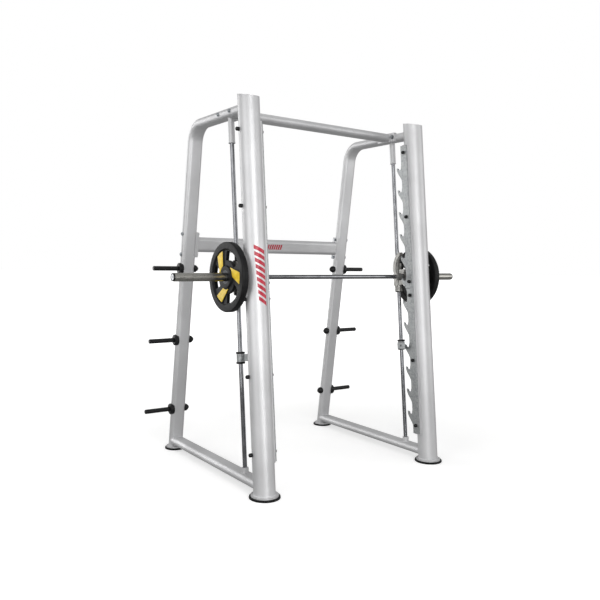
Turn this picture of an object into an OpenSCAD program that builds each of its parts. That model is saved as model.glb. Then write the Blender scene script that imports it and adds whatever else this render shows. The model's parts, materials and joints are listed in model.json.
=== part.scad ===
/* [Overall] */
// Distance between the two side frames, centre to centre
side_spacing = 1298; // [1240:1:1340]
// Height of a column's top, measured at its middle
column_height = 2266; // [2200:1:2300]
// Distance on the floor from column centre to rear leg centre
base_depth = 1183; // [1150:1:1220]
// Backward lean of the columns and guide rods, in degrees
column_lean = 5.75; // [5.5:0.05:6]
// Forward lean of the rear legs, in degrees
leg_lean = 7.74; // [7.5:0.02:8]

/* [Columns and tubes] */
// Outside diameter of a column
column_d = 127; // [120:1:130]
// Wall of a column
column_wall = 4; // [3:0.5:5]
// Slope of a column's cut top, rising to the rear, in degrees
top_slope = 8.8; // [4:0.1:12]
// Width of the flat-oval tube
tube_w = 100; // [90:1:100]
// Thickness of the flat-oval tube
tube_t = 50; // [46:1:54]
// Wall of the flat-oval tube
tube_wall = 3; // [2:0.5:4]
// Centre-line radius of the bend at the top of a rear leg
bend_r = 125; // [110:1:150]
// Height of the upper tube's centre line
upper_z = 2195; // [2180:1:2200]
// Height of the base tube's centre line
base_z = 60; // [58:1:64]
// Position of the top crossmember behind the column's foot
top_cross_y = 429; // [420:1:440]
// Height of the rear crossmember's centre
rear_cross_z = 1428; // [1400:1:1460]

/* [Feet] */
// Diameter of the front pad
front_pad_d = 180; // [176:1:190]
// Diameter of the front flange
front_flange_d = 160; // [156:1:168]
// Diameter of the circle of anchor holes
anchor_pcd = 143; // [141:1:146]
// Diameter of an anchor hole
anchor_d = 9; // [8:0.5:10]
// Diameter of the rear pad
rear_pad_d = 142; // [136:1:150]
// Diameter of the rear flange
rear_flange_d = 124; // [118:1:130]
// Thickness of the rubber pads
pad_t = 12; // [10:1:14]
// Thickness of the steel flanges
flange_t = 8; // [6:1:8]

/* [Guide rods] */
// Diameter of a guide rod
rod_d = 26; // [25:0.5:28]
// Distance from column axis to rod axis, square to both
rod_offset = 207; // [200:1:215]
// Diameter of the sleeve that holds the top of a rod
rod_sleeve_d = 38; // [36:1:42]
// Place along the rod where the sleeve starts
rod_sleeve_v = 2051; // [2040:1:2070]

/* [Hook plates] */
// Distance between two teeth
tooth_pitch = 150; // [150:1:150]
// Place of the highest tooth's tip along the column
first_tip_v = 1987; // [1980:1:1990]
// Distance of the tooth tips from the column's axis
tip_u = 87; // [85:0.5:88]
// Distance of the tooth roots from the column's axis
root_u = 42; // [41:0.5:43]
// Thickness of a hook plate
hook_plate_t = 10; // [8:1:10]
// Diameter of the hook plate bolts
hook_bolt_d = 12; // [10:1:14]

/* [Bar] */
// Overall length of the bar
bar_length = 2200; // [2160:1:2220]
// Diameter of the bar's shaft
bar_d = 28; // [27:0.5:30]
// Diameter of the loading sleeves
sleeve_d = 48; // [46:0.5:49]
// Distance from column axis to bar axis, square to the column
bar_u = 132.4; // [131:0.1:134]
// Place of the bar along the column
bar_v = 1250.6; // [1248:0.1:1252]
// Angle by which the bar is turned back to free its hooks, in degrees
release_angle = 14.3; // [14:0.1:16]

/* [Weight plates] */
// Diameter of a weight plate
plate_d = 404; // [390:1:410]
// Thickness of a weight plate
plate_t = 40; // [36:1:42]
// Bore of a weight plate
plate_bore = 50.4; // [50:0.2:52]

/* [Storage horns] */
// Diameter of a storage horn
horn_d = 30; // [28:1:32]
// Distance from the centre of the machine to a horn's end
horn_reach = 890; // [860:1:920]

/* [Safety stops] */
// Place of the stops' middle along the guide rod
stop_v = 779; // [777:1:781]
// Angle by which a stop's claw is swung clear of its tooth, in degrees
swing_angle = 6.5; // [6:0.1:8]

/* [Hidden] */
$fn = 64;
eps = 0.01;
fit_gap = 0.05;

half_span = side_spacing / 2;
y_mid = (base_depth + rear_pad_d / 2 - front_pad_d / 2) / 2;
column_r = column_d / 2;
rod_r = rod_d / 2;
bar_r = bar_d / 2;
foot_z = pad_t + flange_t;
column_top_v = column_height / cos(column_lean);

// rear leg and its bend, in the side plane
corner_y = base_depth - upper_z * tan(leg_lean);
bend_turn = 90 - leg_lean;
bend_tangent = bend_r * tan(bend_turn / 2);
leg_straight = upper_z / cos(leg_lean) - bend_tangent;
bend_end_y = corner_y - bend_tangent;

// crossmember flanges and bolts
flange_len = 166;
flange_w = 58;
cross_flange_t = 9;
bolt_half = 68;
frame_bolt_d = 12;
saddle_proud = 1;
cross_end_x = half_span - tube_w / 2 - saddle_proud;
rear_cross_s = rear_cross_z / cos(leg_lean);
saddle_depth = 14;

// hook plates: place along X from the column's axis, towards the inside
rail_x = column_r + 10;
plate_x = rail_x + hook_plate_t;
plate_front_u = -10;
rail_front_u = -14;
rail_back_u = 34;
plate_top_v = 2130;
plate_split_v = 1164;
plate_bottom_v = 191;
plate_gap = 1.5;
tooth_count = 12;
tooth_drop = 100;
gullet_r = 14;
gullet_u = 60;
gullet_drop = 5;
bolt_u = 14;
BOLT_V = [245, 681, 1117, 1209, 1645, 2081];
cap_d = 23;
cap_len = 16;

// bar hooks
hook_reach = 153.5;
hook_pin_r = 8;
hook_angle = acos((gullet_u + 2 - bar_u) / hook_reach);
cheek_t = 8;
cheek_gap = 2;
hook_hub_r = 26;
arm_w = 26;
arm_rise = 26;

// carriage
carriage_len = 196;
carriage_r = 27;
bearing_r = 20;
bearing_len = 60;
bar_housing_r = 31;
bar_housing_len = 68;
bar_bush_r = 21;

// bar sleeves and weight plates
sleeve_start = 700;
shoulder_x = 720;
plate_inner_x = 732;
sleeve_cap_t = 10;

// storage horns
HORN_Z = [1266, 778, 291];
horn_shank_r = 10;
horn_flange_d = 74;
horn_flange_t = 14;
horn_cap_d = 50;
horn_cap_h = 34;

// safety stops
stop_bush_r = 17;
stop_ring_r = 23.5;
stop_half = 35;
bumper_t = 11;
bumper_r = 26.5;
claw_t = 12;
claw_h = 42;
finger_r = 7;
finger_u = 57;
claw_x = plate_x + 4 + claw_t / 2;

silver = [0.78, 0.79, 0.80];
steel = [0.62, 0.63, 0.64];
chrome = [0.86, 0.87, 0.88];
black = [0.08, 0.08, 0.09];

// ---------- places ----------

// the origin is the middle of the machine on the floor
module site() {
  translate([0, -y_mid, 0]) children();
}

// children are drawn for the right-hand side, with x measured from the side plane
module on_side(side) {
  site() {
    if (side > 0) translate([half_span, 0, 0]) children();
    if (side < 0) mirror([1, 0, 0]) translate([half_span, 0, 0]) children();
  }
}

// the column's own frame: y is the distance behind its axis, z runs up along it
module leaning(side) {
  on_side(side) rotate([-column_lean, 0, 0]) children();
}

// the rear leg's own frame: z runs up along it
module on_leg(side) {
  on_side(side) translate([0, base_depth, 0]) rotate([leg_lean, 0, 0]) children();
}

// draws a flat shape in the Y-Z plane and gives it thickness along X
module across(x0, len) {
  translate([x0, 0, 0]) rotate([90, 0, 90]) linear_extrude(len) children();
}

// a round bar along X
module x_bar(r, x0, len) {
  translate([x0, 0, 0]) rotate([0, 90, 0]) cylinder(r = r, h = len);
}

module tube(r_out, r_in, h) {
  difference() {
    cylinder(r = r_out, h = h);
    translate([0, 0, -1]) cylinder(r = r_in, h = h + 2);
  }
}

module both() {
  for (side = [-1, 1]) {
    let ($side = side) children();
  }
}

// ---------- sections ----------

module flat_oval(w, t) {
  square([w - t, t], center = true);
  for (s = [-1, 1]) translate([s * (w - t) / 2, 0]) circle(d = t);
}

// a straight bar with round ends between two points of a flat shape
module link2d(a, b, w) {
  d = b - a;
  translate(a) rotate(atan2(d[1], d[0])) translate([0, -w / 2]) square([norm(d), w]);
  translate(a) circle(d = w);
  translate(b) circle(d = w);
}

// ---------- columns ----------

module column_solid(r) {
  translate([0, 0, -60]) cylinder(r = r, h = column_top_v + 160);
}

// everything between the foot flange and the sloping cut at the top
module column_slice() {
  size = 400;
  difference() {
    translate([-size / 2, -size / 2, foot_z]) cube([size, size + 300, column_height + 100]);
    translate([0, column_top_v * sin(column_lean), column_height])
      rotate([top_slope, 0, 0]) translate([-size / 2, -size, 0]) cube([size, 2 * size, size]);
  }
}

module column(side) {
  color(silver) difference() {
    intersection() {
      leaning(side) column_solid(column_r);
      on_side(side) column_slice();
    }
    leaning(side) {
      column_solid(column_r - column_wall);
      for (v = BOLT_V) {
        translate([0, bolt_u, v]) x_bar(hook_bolt_d / 2 + 0.5, -column_d, 2 * column_d);
      }
    }
  }
}

module column_cap(side) {
  cap_t = 5;
  intersection() {
    leaning(side) column_solid(column_r - column_wall);
    on_side(side)
      translate([0, column_top_v * sin(column_lean), column_height]) rotate([top_slope, 0, 0])
        translate([-column_d, -column_d, -cap_t]) cube([2 * column_d, 2 * column_d, cap_t]);
  }
}

module column_caps() {
  color(silver) both() column_cap($side);
}

// ---------- feet ----------

module front_flange(side) {
  color(silver) difference() {
    on_side(side) translate([0, 0, pad_t]) cylinder(d = front_flange_d, h = flange_t);
    on_side(side) anchor_holes();
  }
}

module anchor_holes() {
  for (a = [45 : 90 : 315]) {
    rotate(a) translate([anchor_pcd / 2, 0, -1]) cylinder(d = anchor_d, h = foot_z + 2);
  }
}

module front_pad(side) {
  lip_r = 5;
  color(black) difference() {
    on_side(side) {
      cylinder(d = front_pad_d, h = pad_t - lip_r / 2);
      translate([0, 0, pad_t - lip_r / 2])
        cylinder(d1 = front_pad_d, d2 = front_pad_d - lip_r, h = lip_r / 2);
    }
    on_side(side) anchor_holes();
  }
}

module rear_flanges() {
  color(silver) both() on_side($side) translate([0, base_depth, pad_t])
    cylinder(d = rear_flange_d, h = flange_t);
}

module rear_pad(side) {
  color(black) on_side(side) translate([0, base_depth, 0]) {
    cylinder(d = rear_pad_d, h = pad_t - 2);
    translate([0, 0, pad_t - 2]) cylinder(d1 = rear_pad_d, d2 = rear_pad_d - 4, h = 2);
  }
}

// ---------- rear legs and side tubes ----------

module tube_section(w = tube_w) {
  difference() {
    flat_oval(w, tube_t);
    flat_oval(w - 2 * tube_wall, tube_t - 2 * tube_wall);
  }
}

// a crossmember's flange is bolted to a pad that fills the tube's round side
module saddle() {
  translate([-tube_w / 2 - saddle_proud, -flange_w / 2, -flange_len / 2])
    cube([saddle_depth + saddle_proud, flange_w, flange_len]);
}

module bolt_pair(r) {
  for (s = [-1, 1]) {
    translate([0, 0, s * bolt_half]) x_bar(r, -tube_w, 2 * tube_w);
  }
}

module rear_leg(side) {
  color(silver) difference() {
    on_leg(side) {
      translate([0, 0, -60]) linear_extrude(leg_straight + 60) tube_section();
      translate([0, 0, rear_cross_s]) saddle();
    }
    on_leg(side) translate([0, 0, rear_cross_s]) bolt_pair(frame_bolt_d / 2);
    on_side(side) {
      translate([-200, base_depth - 200, foot_z - 400]) cube([400, 400, 400]);
      for (z = HORN_Z) horn_place(z) x_bar(horn_shank_r, -tube_w, 2 * tube_w);
    }
  }
}

module leg_bend(side) {
  color(silver) on_side(side)
    translate([0, bend_end_y, upper_z - bend_r]) rotate([leg_lean, 0, 0]) rotate([90, 0, 90])
      rotate_extrude(angle = bend_turn) translate([bend_r, 0]) rotate(90) tube_section();
}

module upper_tube(side) {
  color(silver) difference() {
    on_side(side) {
      translate([0, bend_end_y, upper_z]) rotate([90, 0, 0])
        linear_extrude(bend_end_y - column_height * tan(column_lean)) tube_section();
      translate([0, top_cross_y, upper_z]) rotate([90, 0, 0]) saddle();
    }
    on_side(side) translate([0, top_cross_y, upper_z]) rotate([90, 0, 0])
      bolt_pair(frame_bolt_d / 2);
    leaning(side) column_solid(column_r);
  }
}

module leg_outer(side) {
  on_leg(side) linear_extrude(600) flat_oval(tube_w, tube_t);
}

// a little narrower than the leg, and coped to fit round it
module base_tube(side) {
  end_y = base_depth - base_z * tan(leg_lean);
  color(silver) difference() {
    on_side(side) translate([0, end_y, base_z]) rotate([90, 0, 0])
      linear_extrude(end_y) tube_section(tube_w - 4);
    leaning(side) column_solid(column_r);
    leg_outer(side);
  }
}

// ---------- crossmembers ----------

module end_flange(w, l) {
  translate([-cross_flange_t, -w / 2, -l / 2]) cube([cross_flange_t, w, l]);
}

// a tube between the side frames with a drilled flange on each end
module crossmember_body(w) {
  run = 2 * cross_end_x;
  difference() {
    union() {
      translate([-run / 2 + eps, 0, 0]) rotate([90, 0, 90])
        linear_extrude(run - 2 * eps) rotate(90) flat_oval(tube_w, tube_t);
      for (s = [0, 1]) mirror([s, 0, 0]) translate([cross_end_x, 0, 0]) end_flange(w, flange_len);
    }
    translate([-run / 2 + cross_flange_t, 0, 0]) rotate([90, 0, 90])
      linear_extrude(run - 2 * cross_flange_t) rotate(90)
        flat_oval(tube_w - 2 * tube_wall, tube_t - 2 * tube_wall);
    for (s = [-1, 1]) {
      translate([0, 0, s * bolt_half]) x_bar(frame_bolt_d / 2, -run, 2 * run);
    }
  }
}

module top_crossmember() {
  color(silver) site() translate([0, top_cross_y, upper_z]) rotate([90, 0, 0])
    crossmember_body(flange_w);
}

module rear_crossmember() {
  color(silver) site() translate([0, base_depth, 0]) rotate([leg_lean, 0, 0])
    translate([0, 0, rear_cross_s]) crossmember_body(flange_w);
}

// hexagon head outside the tube, shank through tube and flange, nut inside
module frame_bolt() {
  head_h = 8;
  inner_x = -tube_w / 2 - saddle_proud - cross_flange_t;
  x_bar(frame_bolt_d / 2, inner_x - 14, tube_w / 2 - inner_x + 14);
  translate([tube_w / 2, 0, 0]) rotate([0, 90, 0]) cylinder(d = 21, h = head_h, $fn = 6);
  translate([inner_x - 10, 0, 0]) rotate([0, 90, 0]) cylinder(d = 21, h = 10, $fn = 6);
}

module frame_bolts() {
  color(steel) both() {
    for (s = [-1, 1]) {
      on_leg($side) translate([0, 0, rear_cross_s + s * bolt_half]) frame_bolt();
      on_side($side) translate([0, top_cross_y + s * bolt_half, upper_z]) frame_bolt();
    }
  }
}

// ---------- guide rods ----------

module guide_rod(side) {
  foot_v = 100;
  color(chrome) difference() {
    leaning(side) translate([0, rod_offset, foot_v])
      cylinder(r = rod_r, h = rod_sleeve_v + 90 - foot_v);
    on_side(side) translate([-100, 0, base_z + tube_t / 2 - 100]) cube([200, 600, 100]);
  }
}

module upper_tube_solid() {
  translate([0, bend_end_y, upper_z]) rotate([90, 0, 0])
    linear_extrude(bend_end_y) flat_oval(tube_w, tube_t);
}

module rod_sleeve(side) {
  lip = 1.5;
  color(silver) difference() {
    leaning(side) translate([0, rod_offset, rod_sleeve_v]) {
      cylinder(d = rod_sleeve_d, h = 176);
      cylinder(d = rod_sleeve_d + 2 * lip, h = 6);
    }
    leaning(side) translate([0, rod_offset, rod_sleeve_v - 1]) cylinder(r = rod_r, h = 91);
    on_side(side) upper_tube_solid();
  }
}

module rod_socket(side) {
  socket_top_v = 136;
  color(silver) difference() {
    leaning(side) translate([0, rod_offset, 80]) {
      cylinder(d = 42, h = socket_top_v - 80);
    }
    leaning(side) translate([0, rod_offset, 0]) cylinder(r = rod_r, h = 300);
    on_side(side) translate([-100, 0, base_z + tube_t / 2 - 100]) cube([200, 600, 100]);
  }
}

// ---------- hook plates ----------

module hook_rail(side) {
  color(silver) difference() {
    leaning(side) translate([-rail_x, rail_front_u, plate_bottom_v - 6])
      cube([24, rail_back_u - rail_front_u, plate_top_v - plate_bottom_v + 12]);
    leaning(side) {
      column_solid(column_r);
      for (v = BOLT_V) translate([0, bolt_u, v]) x_bar(hook_bolt_d / 2, -column_d, column_d);
    }
  }
}

// distance of a tooth's underside from the column's axis, at a share of its drop
function fin_u(share) = root_u + (tip_u - root_u) * (1 + cos(180 * pow(share, 1.15))) / 2;

module tooth(tip_v) {
  steps = 10;
  underside = [for (i = [0 : steps]) [fin_u(i / steps), -tooth_drop * i / steps]];
  translate([0, tip_v]) difference() {
    polygon(concat(
      underside,
      [[root_u - 6, -tooth_drop], [root_u - 6, 10], [root_u, 10], [gullet_u - gullet_r, -gullet_drop],
       [gullet_u + gullet_r - 1, -gullet_drop], [tip_u - 2, 0.4]]
    ));
    translate([gullet_u, -gullet_drop]) circle(r = gullet_r);
  }
}

module toothed_profile() {
  translate([plate_front_u, plate_bottom_v])
    square([root_u - plate_front_u, plate_top_v - plate_bottom_v]);
  for (k = [0 : tooth_count - 1]) tooth(first_tip_v - k * tooth_pitch);
}

module hook_plate(side, from_v, to_v) {
  color(steel) leaning(side) difference() {
    across(-plate_x, hook_plate_t) intersection() {
      toothed_profile();
      translate([plate_front_u - 1, from_v]) square([120, to_v - from_v]);
    }
    for (v = BOLT_V) translate([0, bolt_u, v]) x_bar(hook_bolt_d / 2, -column_d, column_d);
  }
}

module upper_hook_plate(side) {
  hook_plate(side, plate_split_v + plate_gap / 2, plate_top_v);
}

module lower_hook_plate(side) {
  hook_plate(side, plate_bottom_v, plate_split_v - plate_gap / 2);
}

module hook_plate_bolts() {
  color(steel) both() leaning($side) for (v = BOLT_V) {
    translate([0, bolt_u, v]) x_bar(hook_bolt_d / 2, -plate_x - 9, plate_x + column_r + 9);
  }
}

module bolt_cap_body() {
  difference() {
    union() {
      cylinder(d = cap_d, h = cap_len - 4);
      translate([0, 0, cap_len - 4]) cylinder(d1 = cap_d, d2 = cap_d - 7, h = 4);
    }
    translate([0, 0, -1]) cylinder(d = hook_bolt_d, h = 10);
  }
}

module bolt_caps() {
  outer_x = 54;
  color(black) both() for (v = BOLT_V) {
    leaning($side) translate([-plate_x, bolt_u, v]) rotate([0, -90, 0]) bolt_cap_body();
    difference() {
      leaning($side) translate([outer_x, bolt_u, v]) rotate([0, 90, 0]) difference() {
        union() {
          cylinder(d = cap_d, h = column_r + cap_len - 4 - outer_x);
          translate([0, 0, column_r + cap_len - 4 - outer_x])
            cylinder(d1 = cap_d, d2 = cap_d - 7, h = 4);
        }
        cylinder(d = hook_bolt_d, h = column_r + 9 - outer_x);
      }
      leaning($side) column_solid(column_r);
    }
  }
}

// ---------- storage horns ----------

module horn_place(z) {
  translate([0, base_depth - z * tan(leg_lean), z]) children();
}

module storage_horns(side) {
  flange_x = tube_w / 2 - 12;
  reach = horn_reach - half_span;
  color(black) for (z = HORN_Z) difference() {
    on_side(side) horn_place(z) {
      x_bar(horn_shank_r, -tube_w / 2 - 20, tube_w + 20);
      x_bar(horn_flange_d / 2, flange_x, horn_flange_t + 12 - 5);
      translate([tube_w / 2 + horn_flange_t - 5, 0, 0]) rotate([0, 90, 0])
        cylinder(d1 = horn_flange_d, d2 = horn_flange_d - 18, h = 5);
      x_bar(horn_d / 2, flange_x, reach - flange_x - 4);
      translate([reach - 4, 0, 0]) rotate([0, 90, 0]) cylinder(d1 = horn_d, d2 = horn_d - 6, h = 4);
    }
    difference() {
      on_leg(side) linear_extrude(1500) flat_oval(tube_w, tube_t);
      on_side(side) horn_place(z) x_bar(horn_shank_r, -tube_w, 2 * tube_w);
    }
  }
}

module horn_caps() {
  base_x = -tube_w / 2 + 10;
  color(black) both() for (z = HORN_Z) difference() {
    on_side($side) horn_place(z) translate([base_x, 0, 0]) rotate([0, -90, 0]) {
      cylinder(d = horn_cap_d, h = 16);
      translate([0, 0, 16]) cylinder(d1 = horn_cap_d, d2 = 24, h = horn_cap_h - 8);
    }
    on_side($side) horn_place(z) x_bar(horn_shank_r, -tube_w / 2 - 20, tube_w);
    on_leg($side) linear_extrude(1500) flat_oval(tube_w, tube_t);
  }
}

// ---------- carriage ----------

module at_bar(side) {
  leaning(side) translate([0, bar_u, bar_v]) children();
}

module carriage(side) {
  web_h = 120;
  web_t = 34;
  color(steel) leaning(side) difference() {
    union() {
      translate([0, rod_offset, bar_v - carriage_len / 2]) cylinder(r = carriage_r, h = carriage_len);
      translate([0, bar_u, bar_v]) x_bar(bar_housing_r, -bar_housing_len / 2, bar_housing_len);
      translate([-web_t / 2, bar_u, bar_v - web_h / 2 + 8])
        cube([web_t, rod_offset - bar_u, web_h - 16]);
    }
    translate([0, rod_offset, 0]) cylinder(r = bearing_r, h = column_height);
    translate([0, bar_u, bar_v]) x_bar(bar_bush_r, -bar_housing_len, 2 * bar_housing_len);
    translate([-web_t, bar_u - 60, bar_v - web_h]) cube([2 * web_t, 60, web_h - bar_housing_r]);
    translate([-web_t, bar_u - 60, bar_v + bar_housing_r]) cube([2 * web_t, 60, web_h]);
  }
}

module linear_bearings() {
  color("goldenrod") both() leaning($side) for (s = [-1, 1]) {
    translate([0, rod_offset, bar_v + s * (carriage_len - bearing_len) / 2 - bearing_len / 2])
      tube(bearing_r, rod_r + fit_gap, bearing_len);
  }
}

module bar_bearings() {
  color("goldenrod") both() at_bar($side)
    translate([-bar_housing_len / 2, 0, 0]) rotate([0, 90, 0])
      tube(bar_bush_r, bar_r + fit_gap, bar_housing_len);
}

// ---------- bar ----------

module bar_line() {
  site() rotate([-column_lean, 0, 0]) translate([0, bar_u, bar_v]) children();
}

module bar_shaft() {
  color(chrome) bar_line() x_bar(bar_r, sleeve_cap_t - bar_length / 2, bar_length - 2 * sleeve_cap_t);
}

module bar_sleeve(side) {
  sleeve_len = bar_length / 2 - sleeve_cap_t - sleeve_start;
  color(chrome) bar_line() mirror([side < 0 ? 1 : 0, 0, 0]) difference() {
    union() {
      x_bar(sleeve_d / 2, sleeve_start, sleeve_len);
      x_bar(sleeve_d / 2 + 13, shoulder_x, plate_inner_x - shoulder_x);
    }
    x_bar(bar_r, sleeve_start - 1, sleeve_len + 2);
  }
}

module sleeve_end_caps() {
  end_x = bar_length / 2;
  color(steel) bar_line() for (s = [0, 1]) mirror([s, 0, 0]) {
    x_bar(sleeve_d / 2 - 1.5, end_x - sleeve_cap_t, sleeve_cap_t - 3);
    translate([end_x - 3, 0, 0]) rotate([0, 90, 0])
      cylinder(d1 = sleeve_d - 3, d2 = sleeve_d - 10, h = 3);
  }
}

// points along an arc from a to b that bulges by rise, shifted outwards by off
function arc_points(a, b, rise, off, n) =
  let (
    chord = norm(b - a),
    r = (chord * chord / 4 + rise * rise) / (2 * rise),
    mid = (a + b) / 2,
    out = [b[1] - a[1], a[0] - b[0]] / chord,
    c = mid - out * (r - rise),
    a0 = atan2(a[1] - c[1], a[0] - c[0]),
    a1 = atan2(b[1] - c[1], b[0] - c[0])
  )
  [for (i = [0 : n]) let (t = a0 + (a1 - a0) * i / n) c + (r + off) * [cos(t), sin(t)]];

function reversed(list) = [for (i = [len(list) - 1 : -1 : 0]) list[i]];

function hook_tip() = hook_reach * [cos(hook_angle), sin(hook_angle)];

module hook_cheek_profile(tail) {
  arm_steps = 12;
  translate(hook_tip()) circle(r = hook_pin_r + 6);
  polygon(concat(
    arc_points([0, 0], hook_tip(), arm_rise, arm_w / 2, arm_steps),
    reversed(arc_points([0, 0], hook_tip(), arm_rise, -arm_w / 2, arm_steps))
  ));
  if (tail) link2d([0, 0], [16, -46], 40);
}

module bar_hook(side) {
  plate_mid = plate_x - hook_plate_t / 2;
  inner_x = -(plate_x + cheek_gap + cheek_t);
  outer_x = -(rail_x - cheek_gap);
  color(steel) at_bar(side) rotate([-release_angle, 0, 0]) difference() {
    union() {
      across(inner_x, cheek_t) hook_cheek_profile(true);
      across(outer_x, cheek_t) hook_cheek_profile(false);
      x_bar(hook_hub_r, inner_x - 4, outer_x + cheek_t - inner_x + 12);
      translate([0, hook_tip()[0], hook_tip()[1]])
        x_bar(hook_pin_r, inner_x, outer_x + cheek_t - inner_x);
    }
    x_bar(bar_r, inner_x - 20, 100);
    translate([-plate_mid, 0, 0]) hook_screw_places() cylinder(r = 4, h = 60);
  }
}

module hook_screw_places() {
  for (a = [-60, -20]) rotate([a - 90, 0, 0]) children();
}

module hook_clamp_screws() {
  plate_mid = plate_x - hook_plate_t / 2;
  color(black) both() at_bar($side) rotate([-release_angle, 0, 0])
    translate([-plate_mid, 0, 0]) hook_screw_places() {
      translate([0, 0, bar_r]) cylinder(r = 4, h = 18);
      translate([0, 0, hook_hub_r + 0.5]) cylinder(r = 6.5, h = 7);
    }
}

// ---------- weight plates ----------

module plate_site(side) {
  bar_line() mirror([side < 0 ? 1 : 0, 0, 0]) translate([plate_inner_x, 0, 0]) children();
}

// sector-shaped grip opening with a rim of its own
function sector(r0, r1, half, n) = concat(
  [for (i = [0 : n]) let (a = -half + 2 * half * i / n) r1 * [cos(a), sin(a)]],
  [for (i = [n : -1 : 0]) let (a = -half * 0.82 + 2 * half * 0.82 * i / n) r0 * [cos(a), sin(a)]]
);

GRIP_ANGLES = [0, 120, 240];

module weight_plate(side) {
  rim_in = 164;
  hub_out = 62;
  web_t = 20;
  edge = 5;
  plate_r = plate_d / 2;
  color(black) plate_site(side) difference() {
    rotate([90, 0, 90]) rotate_extrude() {
      polygon([[rim_in, edge], [rim_in + edge, 1], [plate_r - edge, 1], [plate_r, edge + 1],
        [plate_r, plate_t - edge - 1], [plate_r - edge, plate_t - 1], [rim_in + edge, plate_t - 1],
        [rim_in, plate_t - edge]]);
      translate([40, 0]) square([hub_out - 40, plate_t]);
      translate([hub_out - 1, (plate_t - web_t) / 2]) square([rim_in - hub_out + 2, web_t]);
    }
    for (a = GRIP_ANGLES) across(-1, plate_t + 2) rotate(a) polygon(sector(94, 152, 26, 10));
  }
}

module plate_hub(side) {
  color(steel) plate_site(side) rotate([0, 90, 0]) tube(40, plate_bore / 2, plate_t);
}

// ---------- safety stops ----------

module at_stop(side) {
  leaning(side) translate([0, rod_offset, stop_v]) children();
}

module stop_bushing(side) {
  color(steel) at_stop(side) translate([0, 0, -stop_half])
    tube(stop_bush_r, rod_r + fit_gap, 2 * stop_half);
}

module stop_bumpers(side) {
  color(black) at_stop(side) for (s = [0, 1]) mirror([0, 0, s]) {
    translate([0, 0, stop_half - bumper_t]) tube(bumper_r, stop_bush_r, bumper_t);
  }
}

module claw_profile() {
  link2d([0, 0], [-claw_x, 118 - rod_offset], claw_t);
  link2d([-claw_x, 118 - rod_offset], [-claw_x, 52 - rod_offset], claw_t);
}

module stop_claw(side) {
  ring_half = stop_half - bumper_t - 0.5;
  finger_end = rail_x - 2;
  window_d = 16;
  color(steel) at_stop(side) rotate(-swing_angle) difference() {
    union() {
      translate([0, 0, -ring_half]) cylinder(r = stop_ring_r, h = 2 * ring_half);
      translate([0, 0, -claw_h / 2]) linear_extrude(claw_h) claw_profile();
      translate([0, finger_u - rod_offset, -1]) x_bar(finger_r, -claw_x, claw_x - finger_end);
    }
    translate([0, 0, -stop_half]) cylinder(r = stop_bush_r + fit_gap, h = 2 * stop_half);
    translate([0, 82 - rod_offset, 0]) x_bar(window_d / 2, -claw_x - 20, 60);
  }
}

// ---------- nodes ----------

column(-1);  // column_left
column(1);  // column_right
column_caps();
front_flange(-1);  // front_flange_left
front_flange(1);  // front_flange_right
front_pad(-1);  // front_pad_left
front_pad(1);  // front_pad_right
rear_leg(-1);  // rear_leg_left
rear_leg(1);  // rear_leg_right
leg_bend(-1);  // leg_bend_left
leg_bend(1);  // leg_bend_right
upper_tube(-1);  // upper_tube_left
upper_tube(1);  // upper_tube_right
rear_flanges();
rear_pad(-1);  // rear_pad_left
rear_pad(1);  // rear_pad_right
base_tube(-1);  // base_tube_left
base_tube(1);  // base_tube_right
top_crossmember();
rear_crossmember();
frame_bolts();
guide_rod(-1);  // guide_rod_left
guide_rod(1);  // guide_rod_right
rod_sleeve(-1);  // rod_sleeve_left
rod_sleeve(1);  // rod_sleeve_right
rod_socket(-1);  // rod_socket_left
rod_socket(1);  // rod_socket_right
hook_rail(-1);  // hook_rail_left
hook_rail(1);  // hook_rail_right
upper_hook_plate(-1);  // upper_hook_plate_left
upper_hook_plate(1);  // upper_hook_plate_right
lower_hook_plate(-1);  // lower_hook_plate_left
lower_hook_plate(1);  // lower_hook_plate_right
hook_plate_bolts();
bolt_caps();
storage_horns(-1);  // storage_horns_left
storage_horns(1);  // storage_horns_right
horn_caps();
carriage(-1);  // carriage_left
carriage(1);  // carriage_right
linear_bearings();
bar_bearings();
bar_shaft();
bar_sleeve(-1);  // bar_sleeve_left
bar_sleeve(1);  // bar_sleeve_right
sleeve_end_caps();
bar_hook(-1);  // bar_hook_left
bar_hook(1);  // bar_hook_right
hook_clamp_screws();
weight_plate(-1);  // weight_plate_left
weight_plate(1);  // weight_plate_right
plate_hub(-1);  // plate_hub_left
plate_hub(1);  // plate_hub_right
stop_bushing(-1);  // stop_bushing_left
stop_bushing(1);  // stop_bushing_right
stop_bumpers(-1);  // stop_bumpers_left
stop_bumpers(1);  // stop_bumpers_right
stop_claw(-1);  // stop_claw_left
stop_claw(1);  // stop_claw_right
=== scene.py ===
# %% [markdown]
# # A smith machine
# The machine is a barbell that can only slide up and down two leaning rods. A tube frame
# holds the rods, toothed plates catch the bar's hooks, and a stop on each rod guards the
# user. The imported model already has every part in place, so this lesson gives each one its
# real surface and rebuilds the few whose shape is softer than plain solids can show.

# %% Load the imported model
import json
import math

import bmesh
import bpy
from mathutils import Matrix, Vector


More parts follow.
